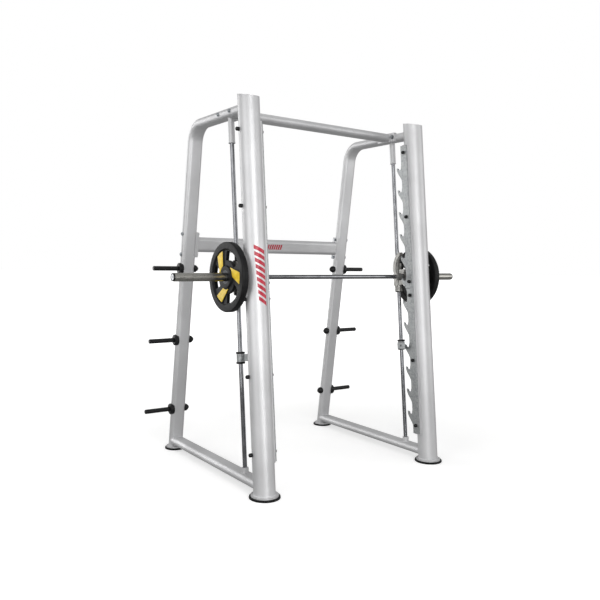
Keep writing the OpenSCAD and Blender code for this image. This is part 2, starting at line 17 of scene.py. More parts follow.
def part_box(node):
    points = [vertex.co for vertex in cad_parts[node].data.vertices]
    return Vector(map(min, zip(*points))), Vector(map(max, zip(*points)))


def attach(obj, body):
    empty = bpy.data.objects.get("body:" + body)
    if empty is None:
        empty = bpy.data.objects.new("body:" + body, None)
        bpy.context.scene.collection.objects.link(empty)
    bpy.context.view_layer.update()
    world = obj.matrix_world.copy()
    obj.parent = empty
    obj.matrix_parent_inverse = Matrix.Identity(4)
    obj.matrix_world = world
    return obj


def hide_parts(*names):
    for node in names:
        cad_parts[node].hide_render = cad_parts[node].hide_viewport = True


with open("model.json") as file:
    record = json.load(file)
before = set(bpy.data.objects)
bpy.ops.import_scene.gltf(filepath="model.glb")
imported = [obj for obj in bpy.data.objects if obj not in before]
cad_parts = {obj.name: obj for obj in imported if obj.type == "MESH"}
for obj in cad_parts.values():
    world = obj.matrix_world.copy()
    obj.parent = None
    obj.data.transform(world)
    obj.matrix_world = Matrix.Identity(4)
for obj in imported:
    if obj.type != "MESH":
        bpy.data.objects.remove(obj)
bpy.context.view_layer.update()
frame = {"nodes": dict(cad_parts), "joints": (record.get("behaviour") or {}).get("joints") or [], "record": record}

NODES = frame["nodes"]
JOINTS = {joint["name"]: joint for joint in frame["joints"]}
print("nodes:", len(NODES), "joints:", len(JOINTS))

# %% [markdown]
# ## Where things are
# Four facts place everything: how far apart the side frames stand, the direction in which
# the guide rods lean, a point on a rod, and the middle of the bar. They could be typed in as
# numbers, but the joints already hold them, so they are read from there and stay right if
# the model changes.

# %% Places taken from the joints
MM = 0.001
HALF = JOINTS["claw_right_swing"]["pos_m"][0]
UP_ROD = Vector(JOINTS["carriage_slide"]["axis"]).normalized()
BEHIND = Vector((0, UP_ROD.z, -UP_ROD.y))
ACROSS = Vector((1, 0, 0))
BAR = Vector(JOINTS["bar_turn"]["pos_m"])
STOP = Vector(JOINTS["claw_right_swing"]["pos_m"])
SIDES = {"left": -1, "right": 1}


def box_middle(node):
    low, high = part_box(node)
    return (low + high) / 2


FOOT = Vector((HALF, box_middle("front_pad_right").y, 0))


def leaning(across_mm, behind_mm, along_mm):
    """A point in the right-hand column's own frame."""
    local = across_mm * ACROSS + behind_mm * BEHIND + along_mm * UP_ROD
    return FOOT + local * MM


print("lean in degrees:", round(math.degrees(math.atan2(UP_ROD.y, UP_ROD.z)), 2))

# %% [markdown]
# ## The camera
# The machine is seen from the left front at chest height, through a mildly long lens. A
# camera can be aimed at a target object, but a fixed place and three angles say the same
# thing plainly and leave nothing to solve.

# %% Camera
VIEW_PLACE = (-2.635, -3.706, 1.336)
VIEW_YAW = math.radians(35.2466)
VIEW_PITCH = math.radians(-3.4247)
VIEW_ROLL = math.radians(0.893)

LENS_MM = 40.27
SENSOR_MM = 36

camera_data = bpy.data.cameras.new("view")
camera_data.lens = LENS_MM
camera_data.sensor_width = SENSOR_MM
camera = bpy.data.objects.new("view", camera_data)
bpy.context.scene.collection.objects.link(camera)
forward = Vector((
    math.sin(VIEW_YAW) * math.cos(VIEW_PITCH),
    math.cos(VIEW_YAW) * math.cos(VIEW_PITCH),
    math.sin(VIEW_PITCH),
))
level_right = Vector((math.cos(VIEW_YAW), -math.sin(VIEW_YAW), 0))
level_up = level_right.cross(forward)
right = level_right * math.cos(VIEW_ROLL) + level_up * math.sin(VIEW_ROLL)
up = level_up * math.cos(VIEW_ROLL) - level_right * math.sin(VIEW_ROLL)
turned = Matrix((right, up, -forward)).transposed().to_4x4()
camera.matrix_world = Matrix.Translation(VIEW_PLACE) @ turned
bpy.context.scene.camera = camera
print("camera at", VIEW_PLACE, "lens in mm:", LENS_MM)

# %% [markdown]
# ## Helpers for materials
# Colours are written as the hex values that a paint chart would give, and one function
# turns them to the linear numbers that Blender mixes. One more function adds a node with
# its settings and links, so that a material reads from top to bottom like a recipe.

# %% Material helpers


def linear(hex_colour):
    """An sRGB hex colour such as #b4b6b8 as linear RGBA."""
    channels = [int(hex_colour[i:i + 2], 16) / 255 for i in (1, 3, 5)]
    return [c / 12.92 if c <= 0.04045 else ((c + 0.055) / 1.055) ** 2.4 for c in channels] + [1]


def add(tree, kind, settings=None, **sockets):
    """Adds a node. settings are its own options; sockets take a value or another node's output."""
    node = tree.nodes.new(kind)
    for option, value in (settings or {}).items():
        setattr(node, option, value)
    for label, value in sockets.items():
        name = label.replace("_", " ")
        socket = node.inputs[int(name[1:])] if name[1:].isdigit() else node.inputs[name]
        if isinstance(value, bpy.types.NodeSocket):
            tree.links.new(value, socket)
        else:
            socket.default_value = value
    return node


def start_material(name, **principled):
    """A new Principled material, its tree, its shader and the object coordinates."""
    material = bpy.data.materials.new(name)
    material.use_nodes = True
    tree = material.node_tree
    shader = tree.nodes["Principled BSDF"]
    for label, value in principled.items():
        shader.inputs[label.replace("_", " ")].default_value = value
    coordinates = add(tree, "ShaderNodeTexCoord").outputs["Object"]
    return material, tree, shader, coordinates


def per_metre(size_mm):
    """The texture scale that makes a pattern's features this many millimetres across."""
    return 1000 / size_mm


def two_tone(tree, factor, dark, light, low=0.0, high=1.0):
    """A colour between two hex colours, as factor goes from low to high."""
    ramp = add(tree, "ShaderNodeValToRGB", Fac=factor)
    ramp.color_ramp.elements[0].position = low
    ramp.color_ramp.elements[0].color = linear(dark)
    ramp.color_ramp.elements[1].position = high
    ramp.color_ramp.elements[1].color = linear(light)
    return ramp.outputs["Color"]


def between(tree, factor, low, high):
    """A number from low to high, as factor goes from 0 to 1."""
    return add(tree, "ShaderNodeMapRange", Value=factor, To_Min=low, To_Max=high).outputs["Result"]


def bump(tree, shader, height, strength, depth_mm):
    """Raises the surface by a height pattern of a real depth."""
    relief = add(tree, "ShaderNodeBump", Height=height, Strength=strength, Distance=depth_mm * MM)
    tree.links.new(relief.outputs["Normal"], shader.inputs["Normal"])


print("silver paint in linear numbers:", [round(c, 3) for c in linear("#bfbfc0")])

# %% [markdown]
# ## Painted steel
# The frame is welded steel tube under a silver powder coat. Powder melts into a film with a
# faint orange-peel skin, and the aluminium flakes in it give a satin metallic look. A plain
# grey gloss would look like plastic, so the paint is partly metallic, its flakes change the
# roughness from grain to grain, and a fine skin of 2 mm waves breaks up the highlights.
# Real flakes are under 0.1 mm, so they are drawn at 1.5 mm to show at all.

# %% Silver powder coat


def silver_powder_coat():
    """Silver paint with a soft satin glow and a faint sparkle."""
    material, tree, shader, at = start_material("silver_powder_coat", Metallic=0.62)
    cloud = add(tree, "ShaderNodeTexNoise", Vector=at, Scale=per_metre(260), Detail=3.0)
    flakes = add(tree, "ShaderNodeTexVoronoi", Vector=at, Scale=per_metre(1.5))
    mixed = add(tree, "ShaderNodeMath", {"operation": "MULTIPLY_ADD"},
                _0=flakes.outputs["Distance"], _1=0.35, _2=cloud.outputs["Fac"])
    tone = two_tone(tree, mixed.outputs[0], "#bfbfc0", "#d1d1d2", 0.45, 0.95)
    tree.links.new(tone, shader.inputs["Base Color"])
    rough = between(tree, flakes.outputs["Distance"], 0.42, 0.56)
    tree.links.new(rough, shader.inputs["Roughness"])
    peel = add(tree, "ShaderNodeTexNoise", Vector=at, Scale=per_metre(2), Detail=1.0)
    bump(tree, shader, peel.outputs["Fac"], 0.25, 0.05)
    return material


PAINT = silver_powder_coat()
print("made", PAINT.name)

# %% Satin black enamel


def satin_black_enamel():
    """Black stoving enamel on the storage horns: even, with worn, smoother patches."""
    material, tree, shader, at = start_material(
        "satin_black_enamel", Metallic=0.0, Specular_IOR_Level=0.3)
    wear = add(tree, "ShaderNodeTexNoise", Vector=at, Scale=per_metre(30), Detail=6.0)
    tone = two_tone(tree, wear.outputs["Fac"], "#070708", "#151618", 0.35, 0.75)
    tree.links.new(tone, shader.inputs["Base Color"])
    tree.links.new(between(tree, wear.outputs["Fac"], 0.28, 0.5), shader.inputs["Roughness"])
    skin = add(tree, "ShaderNodeTexNoise", Vector=at, Scale=per_metre(1.8), Detail=2.0)
    bump(tree, shader, skin.outputs["Fac"], 0.3, 0.05)
    return material


ENAMEL = satin_black_enamel()
print("made", ENAMEL.name)

# %% [markdown]
# ## Bare metals
# The bare metals share one recipe: metallic or nearly so, a base colour read from the metal,
# and a pattern in the roughness that says how it was made. Hard chrome is almost a mirror
# with faint polishing streaks, and on the loading sleeves it is dulled by use. Cast and
# plated steel keeps the sand grain of its mould. Hot-dip zinc freezes into a spangle of
# flat crystals about 9 mm across. Turned steel has fine rings round its axis, and so have
# the blackened hub of a plate and the darker gold of an oiled bronze bush.

# %% Hard chrome and cast steel


def hard_chrome():
    """The guide rods and the bar: polished dark steel that mirrors its surroundings."""
    material, tree, shader, at = start_material("hard_chrome", Metallic=1.0)
    smear = add(tree, "ShaderNodeTexNoise", Vector=at, Scale=per_metre(60), Detail=4.0)
    tone = two_tone(tree, smear.outputs["Fac"], "#707174", "#909194", 0.3, 0.7)
    tree.links.new(tone, shader.inputs["Base Color"])
    tree.links.new(between(tree, smear.outputs["Fac"], 0.07, 0.17), shader.inputs["Roughness"])
    return material


def satin_chrome():
    """The loading sleeves, dulled by plates sliding on and off: long fine scratches along X."""
    material, tree, shader, at = start_material("satin_chrome", Metallic=1.0)
    drawn = add(tree, "ShaderNodeVectorMath", {"operation": "MULTIPLY"}, _0=at, _1=(0.04, 1, 1))
    scratch = add(tree, "ShaderNodeTexNoise", Vector=drawn.outputs[0], Scale=per_metre(1.5),
                  Detail=4.0)
    tone = two_tone(tree, scratch.outputs["Fac"], "#8a8985", "#b4b2ac", 0.3, 0.7)
    tree.links.new(tone, shader.inputs["Base Color"])
    tree.links.new(between(tree, scratch.outputs["Fac"], 0.2, 0.36), shader.inputs["Roughness"])
    return material


def cast_steel():
    """Plated cast steel: a sandy grain of 1.4 mm and darker hollows."""
    material, tree, shader, at = start_material("plated_cast_steel", Metallic=0.85)
    grain = add(tree, "ShaderNodeTexNoise", Vector=at, Scale=per_metre(1.4), Detail=4.0)
    patch = add(tree, "ShaderNodeTexNoise", Vector=at, Scale=per_metre(35), Detail=3.0)
    tone = two_tone(tree, patch.outputs["Fac"], "#898885", "#b5b4b0", 0.3, 0.7)
    tree.links.new(tone, shader.inputs["Base Color"])
    tree.links.new(between(tree, grain.outputs["Fac"], 0.3, 0.5), shader.inputs["Roughness"])
    bump(tree, shader, grain.outputs["Fac"], 0.45, 0.12)
    return material


CHROME, SATIN_CHROME, CAST = hard_chrome(), satin_chrome(), cast_steel()
print("made", CHROME.name, SATIN_CHROME.name, CAST.name)

# %% Hot-dip zinc


def hot_dip_zinc():
    """The toothed plates and claws: dull grey crystals, each at its own brightness."""
    material, tree, shader, at = start_material("hot_dip_zinc", Metallic=0.8)
    warp = add(tree, "ShaderNodeTexNoise", Vector=at, Scale=per_metre(12), Detail=2.0)
    bent = add(tree, "ShaderNodeVectorMath", {"operation": "MULTIPLY_ADD"},
               _0=warp.outputs["Color"], _1=(0.006, 0.006, 0.006), _2=at)
    spangle = add(tree, "ShaderNodeTexVoronoi", Vector=bent.outputs[0], Scale=per_metre(9))
    crystal = add(tree, "ShaderNodeSeparateColor", Color=spangle.outputs["Color"])
    grey = crystal.outputs["Red"]
    dusty = add(tree, "ShaderNodeTexNoise", Vector=at, Scale=per_metre(3), Detail=5.0)
    shade = add(tree, "ShaderNodeMath", {"operation": "MULTIPLY_ADD"},
                _0=dusty.outputs["Fac"], _1=0.6, _2=grey)
    tone = two_tone(tree, shade.outputs[0], "#8d9092", "#a9abab", 0.2, 1.2)
    tree.links.new(tone, shader.inputs["Base Color"])
    tree.links.new(between(tree, crystal.outputs["Green"], 0.38, 0.52), shader.inputs["Roughness"])
    bump(tree, shader, dusty.outputs["Fac"], 0.3, 0.06)
    return material


ZINC = hot_dip_zinc()
print("made", ZINC.name)

# %% Turned steel, bronze and zinc-plated fasteners


def turned_metal(name, dark, light, middle, ring_mm):
    """Metal turned on a lathe about an axis along X through middle, with rings ring_mm apart."""
    material, tree, shader, at = start_material(name, Metallic=1.0)
    centred = add(tree, "ShaderNodeMapping", Vector=at, Location=-Vector(middle))
    rings = add(tree, "ShaderNodeTexWave", {"wave_type": "RINGS", "rings_direction": "X"},
                Vector=centred.outputs[0], Scale=per_metre(ring_mm) / 20, Distortion=0.6)
    tree.links.new(two_tone(tree, rings.outputs["Fac"], dark, light), shader.inputs["Base Color"])
    tree.links.new(between(tree, rings.outputs["Fac"], 0.22, 0.4), shader.inputs["Roughness"])
    bump(tree, shader, rings.outputs["Fac"], 0.3, 0.04)
    return material


def zinc_plate():
    """Bright zinc on fasteners, slightly blue and blotched by handling."""
    material, tree, shader, at = start_material("bright_zinc_plate", Metallic=1.0)
    blotch = add(tree, "ShaderNodeTexNoise", Vector=at, Scale=per_metre(7), Detail=4.0)
    tone = two_tone(tree, blotch.outputs["Fac"], "#84888c", "#aeb1b4", 0.35, 0.7)
    tree.links.new(tone, shader.inputs["Base Color"])
    tree.links.new(between(tree, blotch.outputs["Fac"], 0.22, 0.42), shader.inputs["Roughness"])
    return material


RINGS_MM = 1.6
TURNED = turned_metal("turned_steel", "#8b8d90", "#c3c4c6", BAR, RINGS_MM)
BLACKENED = turned_metal("blackened_steel", "#1d1e20", "#3c3d40", BAR, RINGS_MM)
BRONZE = turned_metal("oiled_bronze", "#7a5f33", "#a8874c", BAR, RINGS_MM)
FASTENER = zinc_plate()
print("made", TURNED.name, BLACKENED.name, BRONZE.name, FASTENER.name)

# %% [markdown]
# ## Rubber, plastic and film
# The weight plates are iron under a moulded rubber skin, and the feet and bumpers are solid
# rubber. Moulded rubber has a fine matt texture and scuffs that turn it grey. The caps are
# nylon, smoother and a little glossier. The yellow panels are cast urethane, and the red
# bars are cut from vinyl film, which has only the peel of the paint below it.

# %% Rubber and nylon


def moulded_rubber():
    """Dense black rubber, matt, with paler scuffs where it is handled."""
    material, tree, shader, at = start_material(
        "moulded_rubber", Metallic=0.0, Specular_IOR_Level=0.22)
    scuff = add(tree, "ShaderNodeTexNoise", Vector=at, Scale=per_metre(22), Detail=7.0)
    tone = two_tone(tree, scuff.outputs["Fac"], "#070708", "#141517", 0.4, 0.78)
    tree.links.new(tone, shader.inputs["Base Color"])
    tree.links.new(between(tree, scuff.outputs["Fac"], 0.38, 0.62), shader.inputs["Roughness"])
    grain = add(tree, "ShaderNodeTexVoronoi", Vector=at, Scale=per_metre(1.2))
    bump(tree, shader, grain.outputs["Distance"], 0.35, 0.08)
    return material


def moulded_nylon():
    """Black nylon caps: a smoother, slightly waxy sheen with marks of the plastic's flow."""
    material, tree, shader, at = start_material(
        "moulded_nylon", Metallic=0.0, Specular_IOR_Level=0.3)
    flow = add(tree, "ShaderNodeTexNoise", Vector=at, Scale=per_metre(9), Detail=3.0)
    tone = two_tone(tree, flow.outputs["Fac"], "#060607", "#121315", 0.35, 0.7)
    tree.links.new(tone, shader.inputs["Base Color"])
    tree.links.new(between(tree, flow.outputs["Fac"], 0.3, 0.45), shader.inputs["Roughness"])
    bump(tree, shader, flow.outputs["Fac"], 0.2, 0.05)
    return material


RUBBER, NYLON = moulded_rubber(), moulded_nylon()
print("made", RUBBER.name, NYLON.name)

# %% Urethane and vinyl


def coloured_skin(name, dark, light, low_rough, high_rough):
    """A coloured plastic surface with faint blotches and a 1.6 mm skin."""
    material, tree, shader, at = start_material(name, Metallic=0.0)
    blotch = add(tree, "ShaderNodeTexNoise", Vector=at, Scale=per_metre(18), Detail=5.0)
    tone = two_tone(tree, blotch.outputs["Fac"], dark, light, 0.35, 0.7)
    tree.links.new(tone, shader.inputs["Base Color"])
    rough = between(tree, blotch.outputs["Fac"], low_rough, high_rough)
    tree.links.new(rough, shader.inputs["Roughness"])
    skin = add(tree, "ShaderNodeTexNoise", Vector=at, Scale=per_metre(1.6), Detail=1.0)
    bump(tree, shader, skin.outputs["Fac"], 0.2, 0.05)
    return material


YELLOW = coloured_skin("cast_yellow_urethane", "#dfb716", "#f4d531", 0.34, 0.5)
RED = coloured_skin("red_vinyl_film", "#9a142b", "#b51f36", 0.3, 0.42)
print("materials:", len(bpy.data.materials))

# %% [markdown]
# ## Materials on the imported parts
# Most parts are right as they are and only need their finish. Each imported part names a
# material slot in the record, so one table from slot to material covers nearly all of
# them. A second, short table holds the few whose finish differs from their slot's.

# %% Give each part its finish
SLOT_MATERIALS = {
    "frame_paint": PAINT,
    "chromed_steel": CHROME,
    "galvanised_steel": ZINC,
    "carriage_steel": CAST,
    "bearing_bronze": BRONZE,
    "fastener_steel": FASTENER,
    "black_paint": ENAMEL,
    "black_plastic": NYLON,
    "pad_rubber": RUBBER,
    "plate_rubber": RUBBER,
}
NODE_SLOTS = {part["node"]: part["material_slot"] for part in frame["record"]["subparts"]}
OTHER_FINISH = {
    "plate_hub_left": BLACKENED, "plate_hub_right": BLACKENED,
    "bar_hook_left": CAST, "bar_hook_right": CAST,
    "bar_sleeve_left": SATIN_CHROME, "bar_sleeve_right": SATIN_CHROME,
}


def finish_of(node):
    return OTHER_FINISH.get(node, SLOT_MATERIALS[NODE_SLOTS[node]])


for name, part in NODES.items():
    part.data.materials.clear()
    part.data.materials.append(finish_of(name))
print("finished parts:", len(NODES))

# %% [markdown]
# ## Helpers for shapes
# A turned piece is a profile spun round an axis, and a flat piece is an outline given a
# thickness. Blender has modifiers for both, but building the mesh directly keeps its place
# in its points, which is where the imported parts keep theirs. Left-hand pieces are the
# right-hand ones mirrored, with their faces turned back outwards.

# %% Turned and flat shapes
ON_AXIS_MM = 1e-6


def fillet(points, radii, steps=4):
    """Rounds each corner of a closed outline with its own radius."""
    rounded = []
    for index, radius in enumerate(radii):
        corner = Vector(points[index])
        before = Vector(points[index - 1]) - corner
        after = Vector(points[(index + 1) % len(points)]) - corner
        half_angle = before.angle(after) / 2
        reach = min(radius / math.tan(half_angle), before.length * 0.45, after.length * 0.45)
        start, end = corner + before.normalized() * reach, corner + after.normalized() * reach
        if radius == 0:
            rounded.append(tuple(corner))
            continue
        for step in range(steps + 1):
            t = step / steps
            rounded.append(tuple(start * (1 - t) ** 2 + corner * 2 * t * (1 - t) + end * t * t))
    return rounded


def spin(profile, segments, closed=False):
    """Spins (radius, height) points in millimetres round Z. A closed profile makes a ring."""
    shape = bmesh.new()
    rings = []
    for radius, height in profile:
        if radius < ON_AXIS_MM:
            rings.append([shape.verts.new((0, 0, height * MM))] * segments)
            continue
        angles = [2 * math.pi * i / segments for i in range(segments)]
        rings.append([
            shape.verts.new((radius * MM * math.cos(a), radius * MM * math.sin(a), height * MM))
            for a in angles
        ])
    pairs = list(zip(rings, rings[1:])) + ([(rings[-1], rings[0])] if closed else [])
    for lower, upper in pairs:
        for i in range(segments):
            j = (i + 1) % segments
            corners = [lower[i], lower[j], upper[j], upper[i]]
            face = list(dict.fromkeys(corners))
            if len(face) > 2:
                shape.faces.new(face)
    bmesh.ops.recalc_face_normals(shape, faces=shape.faces)
    return shape


def slab(outline, low, high):
    """Gives a flat outline in millimetres a thickness along Z."""
    shape = bmesh.new()
    bottom = [shape.verts.new((x * MM, y * MM, low * MM)) for x, y in outline]
    top = [shape.verts.new((x * MM, y * MM, high * MM)) for x, y in outline]
    shape.faces.new(bottom)
    shape.faces.new(top)
    for i in range(len(outline)):
        j = (i + 1) % len(outline)
        shape.faces.new((bottom[i], bottom[j], top[j], top[i]))
    bmesh.ops.recalc_face_normals(shape, faces=shape.faces)
    return shape


sample = spin([(0, 0), (10, 0), (10, 5), (0, 5)], 12)
print("a short bar spun in 12 steps has", len(sample.faces), "faces")
sample.free()

# %% Placing and joining shapes


def axes(x_axis, y_axis, z_axis, place):
    """A matrix from its three axes and its place."""
    turn = Matrix((x_axis, y_axis, z_axis)).transposed().to_4x4()
    return Matrix.Translation(place) @ turn


def facing(direction, place):
    """A matrix whose Z points along direction."""
    turn = Vector(direction).to_track_quat("Z", "Y").to_matrix().to_4x4()
    return Matrix.Translation(place) @ turn


def join(shapes):
    """Puts several shapes in one, each given as (shape, matrix)."""
    whole = bmesh.new()
    for shape, matrix in shapes:
        shape.transform(matrix)
        part = bpy.data.meshes.new("part")
        shape.to_mesh(part)
        shape.free()
        whole.from_mesh(part)
        bpy.data.meshes.remove(part)
    return whole


along_rod = facing(UP_ROD, STOP)
print("a stop's own Z leans with its rod:", [round(c, 3) for c in along_rod.col[2][:3]])

# %% Finishing a piece
SHARP = math.radians(32)


def soften_shading(shape):
    """Smooth faces that meet gently, with crisp edges where they don't."""
    for face in shape.faces:
        face.smooth = True
    for edge in shape.edges:
        edge.smooth = len(edge.link_faces) == 2 and edge.calc_face_angle(0) < SHARP


def finish_piece(name, shape, material, body, replaced=()):
    """Turns a shape into a piece that rides a body."""
    soften_shading(shape)
    mesh = bpy.data.meshes.new(name)
    shape.to_mesh(mesh)
    shape.free()
    return finish_mesh(name, mesh, material, body, replaced)


def finish_mesh(name, mesh, material, body, replaced=()):
    mesh.materials.clear()
    mesh.materials.append(material)
    piece = bpy.data.objects.new(name, mesh)
    bpy.context.scene.collection.objects.link(piece)
    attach(piece, body)
    if replaced:
        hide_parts(*replaced)
    print(name, "faces:", len(mesh.polygons))
    return piece


def mirrored(shape):
    """The left-hand copy of a right-hand shape."""
    copy = shape.copy()
    copy.transform(Matrix.Scale(-1, 4, ACROSS))
    bmesh.ops.reverse_faces(copy, faces=copy.faces)
    return copy


def both_sides(name, shape, material, body, replaced=()):
    """Makes the right piece and its left copy. {} in a name or body becomes the side."""
    for side in SIDES:
        chosen = mirrored(shape) if side == "left" else shape.copy()
        nodes = [node.format(side) for node in replaced]
        finish_piece(name.format(side), chosen, material, body.format(side), nodes)
    shape.free()


print("edges over", round(math.degrees(SHARP)), "degrees stay crisp")

# %% [markdown]
# ## Softened edges
# The toothed plates, claws, hooks and housings are cut or cast, then dressed, so no edge is
# razor sharp, and it is the thin highlight along an edge that makes steel look like steel.
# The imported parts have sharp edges. A Bevel modifier on a cleaned copy rounds them by under
# a millimetre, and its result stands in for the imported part.

# %% Copies with modifiers applied
MERGE_M = 2e-5


def cleaned_copy(node):
    """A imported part's mesh, merged, with its flat faces made whole again."""
    shape = bmesh.new()
    shape.from_mesh(NODES[node].data)
    bmesh.ops.remove_doubles(shape, verts=shape.verts, dist=MERGE_M)
    bmesh.ops.dissolve_limit(
        shape, angle_limit=math.radians(0.6), verts=shape.verts, edges=shape.edges)
    return shape


def applied(name, shape, modifiers):
    """The mesh that modifiers make of a shape. Each is (kind, settings)."""
    mesh = bpy.data.meshes.new(name)
    shape.to_mesh(mesh)
    shape.free()
    carrier = bpy.data.objects.new(name, mesh)
    bpy.context.scene.collection.objects.link(carrier)
    for kind, settings in modifiers:
        modifier = carrier.modifiers.new(kind.lower(), kind)
        for option, value in settings.items():
            setattr(modifier, option, value)
    view = bpy.context.evaluated_depsgraph_get()
    result = bpy.data.meshes.new_from_object(carrier.evaluated_get(view))
    bpy.data.objects.remove(carrier)
    bpy.data.meshes.remove(mesh)
    return result


def bevel_settings(width_mm, angle=35, segments=2):
    return ("BEVEL", {"width": width_mm * MM, "segments": segments, "limit_method": "ANGLE",
                      "angle_limit": math.radians(angle), "use_clamp_overlap": True})


def shape_of(mesh):
    shape = bmesh.new()
    shape.from_mesh(mesh)
    bpy.data.meshes.remove(mesh)
    return shape


test_shape = cleaned_copy("top_crossmember")
print("top crossmember:", len(NODES["top_crossmember"].data.polygons), "faces, cleaned:",
      len(test_shape.faces))
test_shape.free()

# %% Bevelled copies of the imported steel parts
BODY_OF = {node: body for body, nodes in frame["record"]["behaviour"]["bodies"].items()
           for node in nodes}
EDGE_MM = {
    "upper_hook_plate_{}": 0.9, "lower_hook_plate_{}": 0.9, "stop_claw_{}": 1.0,
    "bar_hook_{}": 1.0, "carriage_{}": 1.4, "hook_rail_{}": 1.0,
}


def dressed(node, width_mm):
    """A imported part's stand-in with rounded edges. Large flat faces keep their own normals."""
    shape = cleaned_copy(node)
    for face in shape.faces:
        face.smooth = True
    mesh = applied(node, shape, [
        bevel_settings(width_mm),
        ("WEIGHTED_NORMAL", {"mode": "FACE_AREA_WITH_ANGLE", "weight": 100}),
    ])
    return finish_mesh(node + "_dressed", mesh, finish_of(node), BODY_OF[node],
                       [node])


for pattern, width in EDGE_MM.items():
    for side in SIDES:
        dressed(pattern.format(side), width)
CROSSMEMBER_EDGE_MM = 1.2
for node in ("top_crossmember", "rear_crossmember"):
    dressed(node, CROSSMEMBER_EDGE_MM)

# %% [markdown]
# ## A tree that repeats a template
# Caps, washers, screws and collars are the same piece many times over. One Geometry Nodes
# tree puts a template on every point it is given, turned to the point's own direction. A
# loop in Python could copy the mesh too, but the tree keeps one definition, and its inputs
# can be changed in the modifier panel. A random turn, from a fixed seed, keeps hexagons
# from all standing alike.

# %% The repeating tree


def new_tree(name, inputs):
    """An empty Geometry Nodes tree with these named inputs, its entry node and its exit."""
    tree = bpy.data.node_groups.new(name, "GeometryNodeTree")
    tree.interface.new_socket("Geometry", in_out="INPUT", socket_type="NodeSocketGeometry")
    for label, kind in inputs:
        tree.interface.new_socket(label, in_out="INPUT", socket_type="NodeSocket" + kind)
    tree.interface.new_socket("Geometry", in_out="OUTPUT", socket_type="NodeSocketGeometry")
    return tree, add(tree, "NodeGroupInput").outputs


def close_tree(tree, instances, material):
    """Makes the instances real, gives them their material and ends the tree."""
    real = add(tree, "GeometryNodeRealizeInstances", Geometry=instances)
    painted = add(tree, "GeometryNodeSetMaterial", Geometry=real.outputs[0], Material=material)
    add(tree, "NodeGroupOutput", Geometry=painted.outputs[0])


def repeat_tree():
    tree, given = new_tree("repeat_template", [
        ("Template", "Object"), ("Size", "Float"), ("Spin Seed", "Int"), ("Material", "Material")])
    aim = add(tree, "GeometryNodeInputNamedAttribute", {"data_type": "FLOAT_VECTOR"}, Name="aim")
    turned = add(tree, "FunctionNodeAlignRotationToVector", {"axis": "Z"},
                 Vector=aim.outputs[0])
    chance = add(tree, "FunctionNodeRandomValue", {"data_type": "FLOAT"}, Seed=given["Spin Seed"])
    for socket in chance.inputs:
        if socket.name == "Max" and socket.type == "VALUE":
            socket.default_value = 2 * math.pi
    drawn = [socket for socket in chance.outputs if socket.type == "VALUE"][0]
    about_z = add(tree, "ShaderNodeCombineXYZ", Z=drawn)
    spun = add(tree, "FunctionNodeEulerToRotation", Euler=about_z.outputs[0])
    both = add(tree, "FunctionNodeRotateRotation", {"rotation_space": "LOCAL"},
               Rotation=turned.outputs[0], Rotate_By=spun.outputs[0])
    template = add(tree, "GeometryNodeObjectInfo", Object=given["Template"])
    placed = add(tree, "GeometryNodeInstanceOnPoints", Points=given["Geometry"],
                 Instance=template.outputs["Geometry"], Rotation=both.outputs[0],
                 Scale=given["Size"])
    close_tree(tree, placed.outputs[0], given["Material"])
    return tree


REPEAT = repeat_tree()
print(REPEAT.name, "nodes:", len(REPEAT.nodes))

# %% [markdown]
# ## A tree that welds
# A weld bead is a row of overlapping ripples, one for each pulse of the torch. The second
# tree walks a path, sets a flattened ball every few millimetres and turns it along the path.
# Sweeping a round profile would be cheaper, but it would give a smooth cord, not a weld.

# %% The welding tree


def weld_tree():
    tree, given = new_tree("weld_bead", [
        ("Ripple Pitch", "Float"), ("Bead Radius", "Float"), ("Size Seed", "Int"),
        ("Material", "Material")])
    path = add(tree, "GeometryNodeMeshToCurve", Mesh=given["Geometry"])
    steps = add(tree, "GeometryNodeResampleCurve", {"mode": "LENGTH"},
                Curve=path.outputs[0], Length=given["Ripple Pitch"])
    ball = add(tree, "GeometryNodeMeshIcoSphere", Radius=given["Bead Radius"], Subdivisions=2)
    flat = add(tree, "GeometryNodeTransform", Geometry=ball.outputs[0], Scale=(1.0, 1.0, 0.7))
    tangent = add(tree, "GeometryNodeInputTangent")
    turned = add(tree, "FunctionNodeAlignRotationToVector", {"axis": "Z"},
                 Vector=tangent.outputs[0])
    chance = add(tree, "FunctionNodeRandomValue", {"data_type": "FLOAT"}, Seed=given["Size Seed"])
    for socket in chance.inputs:
        if socket.type == "VALUE" and socket.name in ("Min", "Max"):
            socket.default_value = 0.88 if socket.name == "Min" else 1.12
    drawn = [socket for socket in chance.outputs if socket.type == "VALUE"][0]
    placed = add(tree, "GeometryNodeInstanceOnPoints", Points=steps.outputs[0],
                 Instance=flat.outputs[0], Rotation=turned.outputs[0], Scale=drawn)
    close_tree(tree, placed.outputs[0], given["Material"])
    return tree


WELD = weld_tree()
print(WELD.name, "nodes:", len(WELD.nodes))

# %% Running a tree


def grow(tree, seed_mesh, values):
    """Runs a tree on a mesh with its named inputs and returns the plain mesh it makes."""
    carrier = bpy.data.objects.new("grown", seed_mesh)
    bpy.context.scene.collection.objects.link(carrier)
    modifier = carrier.modifiers.new("grow", "NODES")
    modifier.node_group = tree
    identifiers = {item.name: item.identifier for item in tree.interface.items_tree
                   if item.in_out == "INPUT"}
    for label, value in values.items():
        modifier[identifiers[label]] = value
    view = bpy.context.evaluated_depsgraph_get()
    result = bpy.data.meshes.new_from_object(carrier.evaluated_get(view))
    carrier.modifiers.remove(modifier)
    bpy.data.objects.remove(carrier)
    bpy.data.meshes.remove(seed_mesh)
    return result


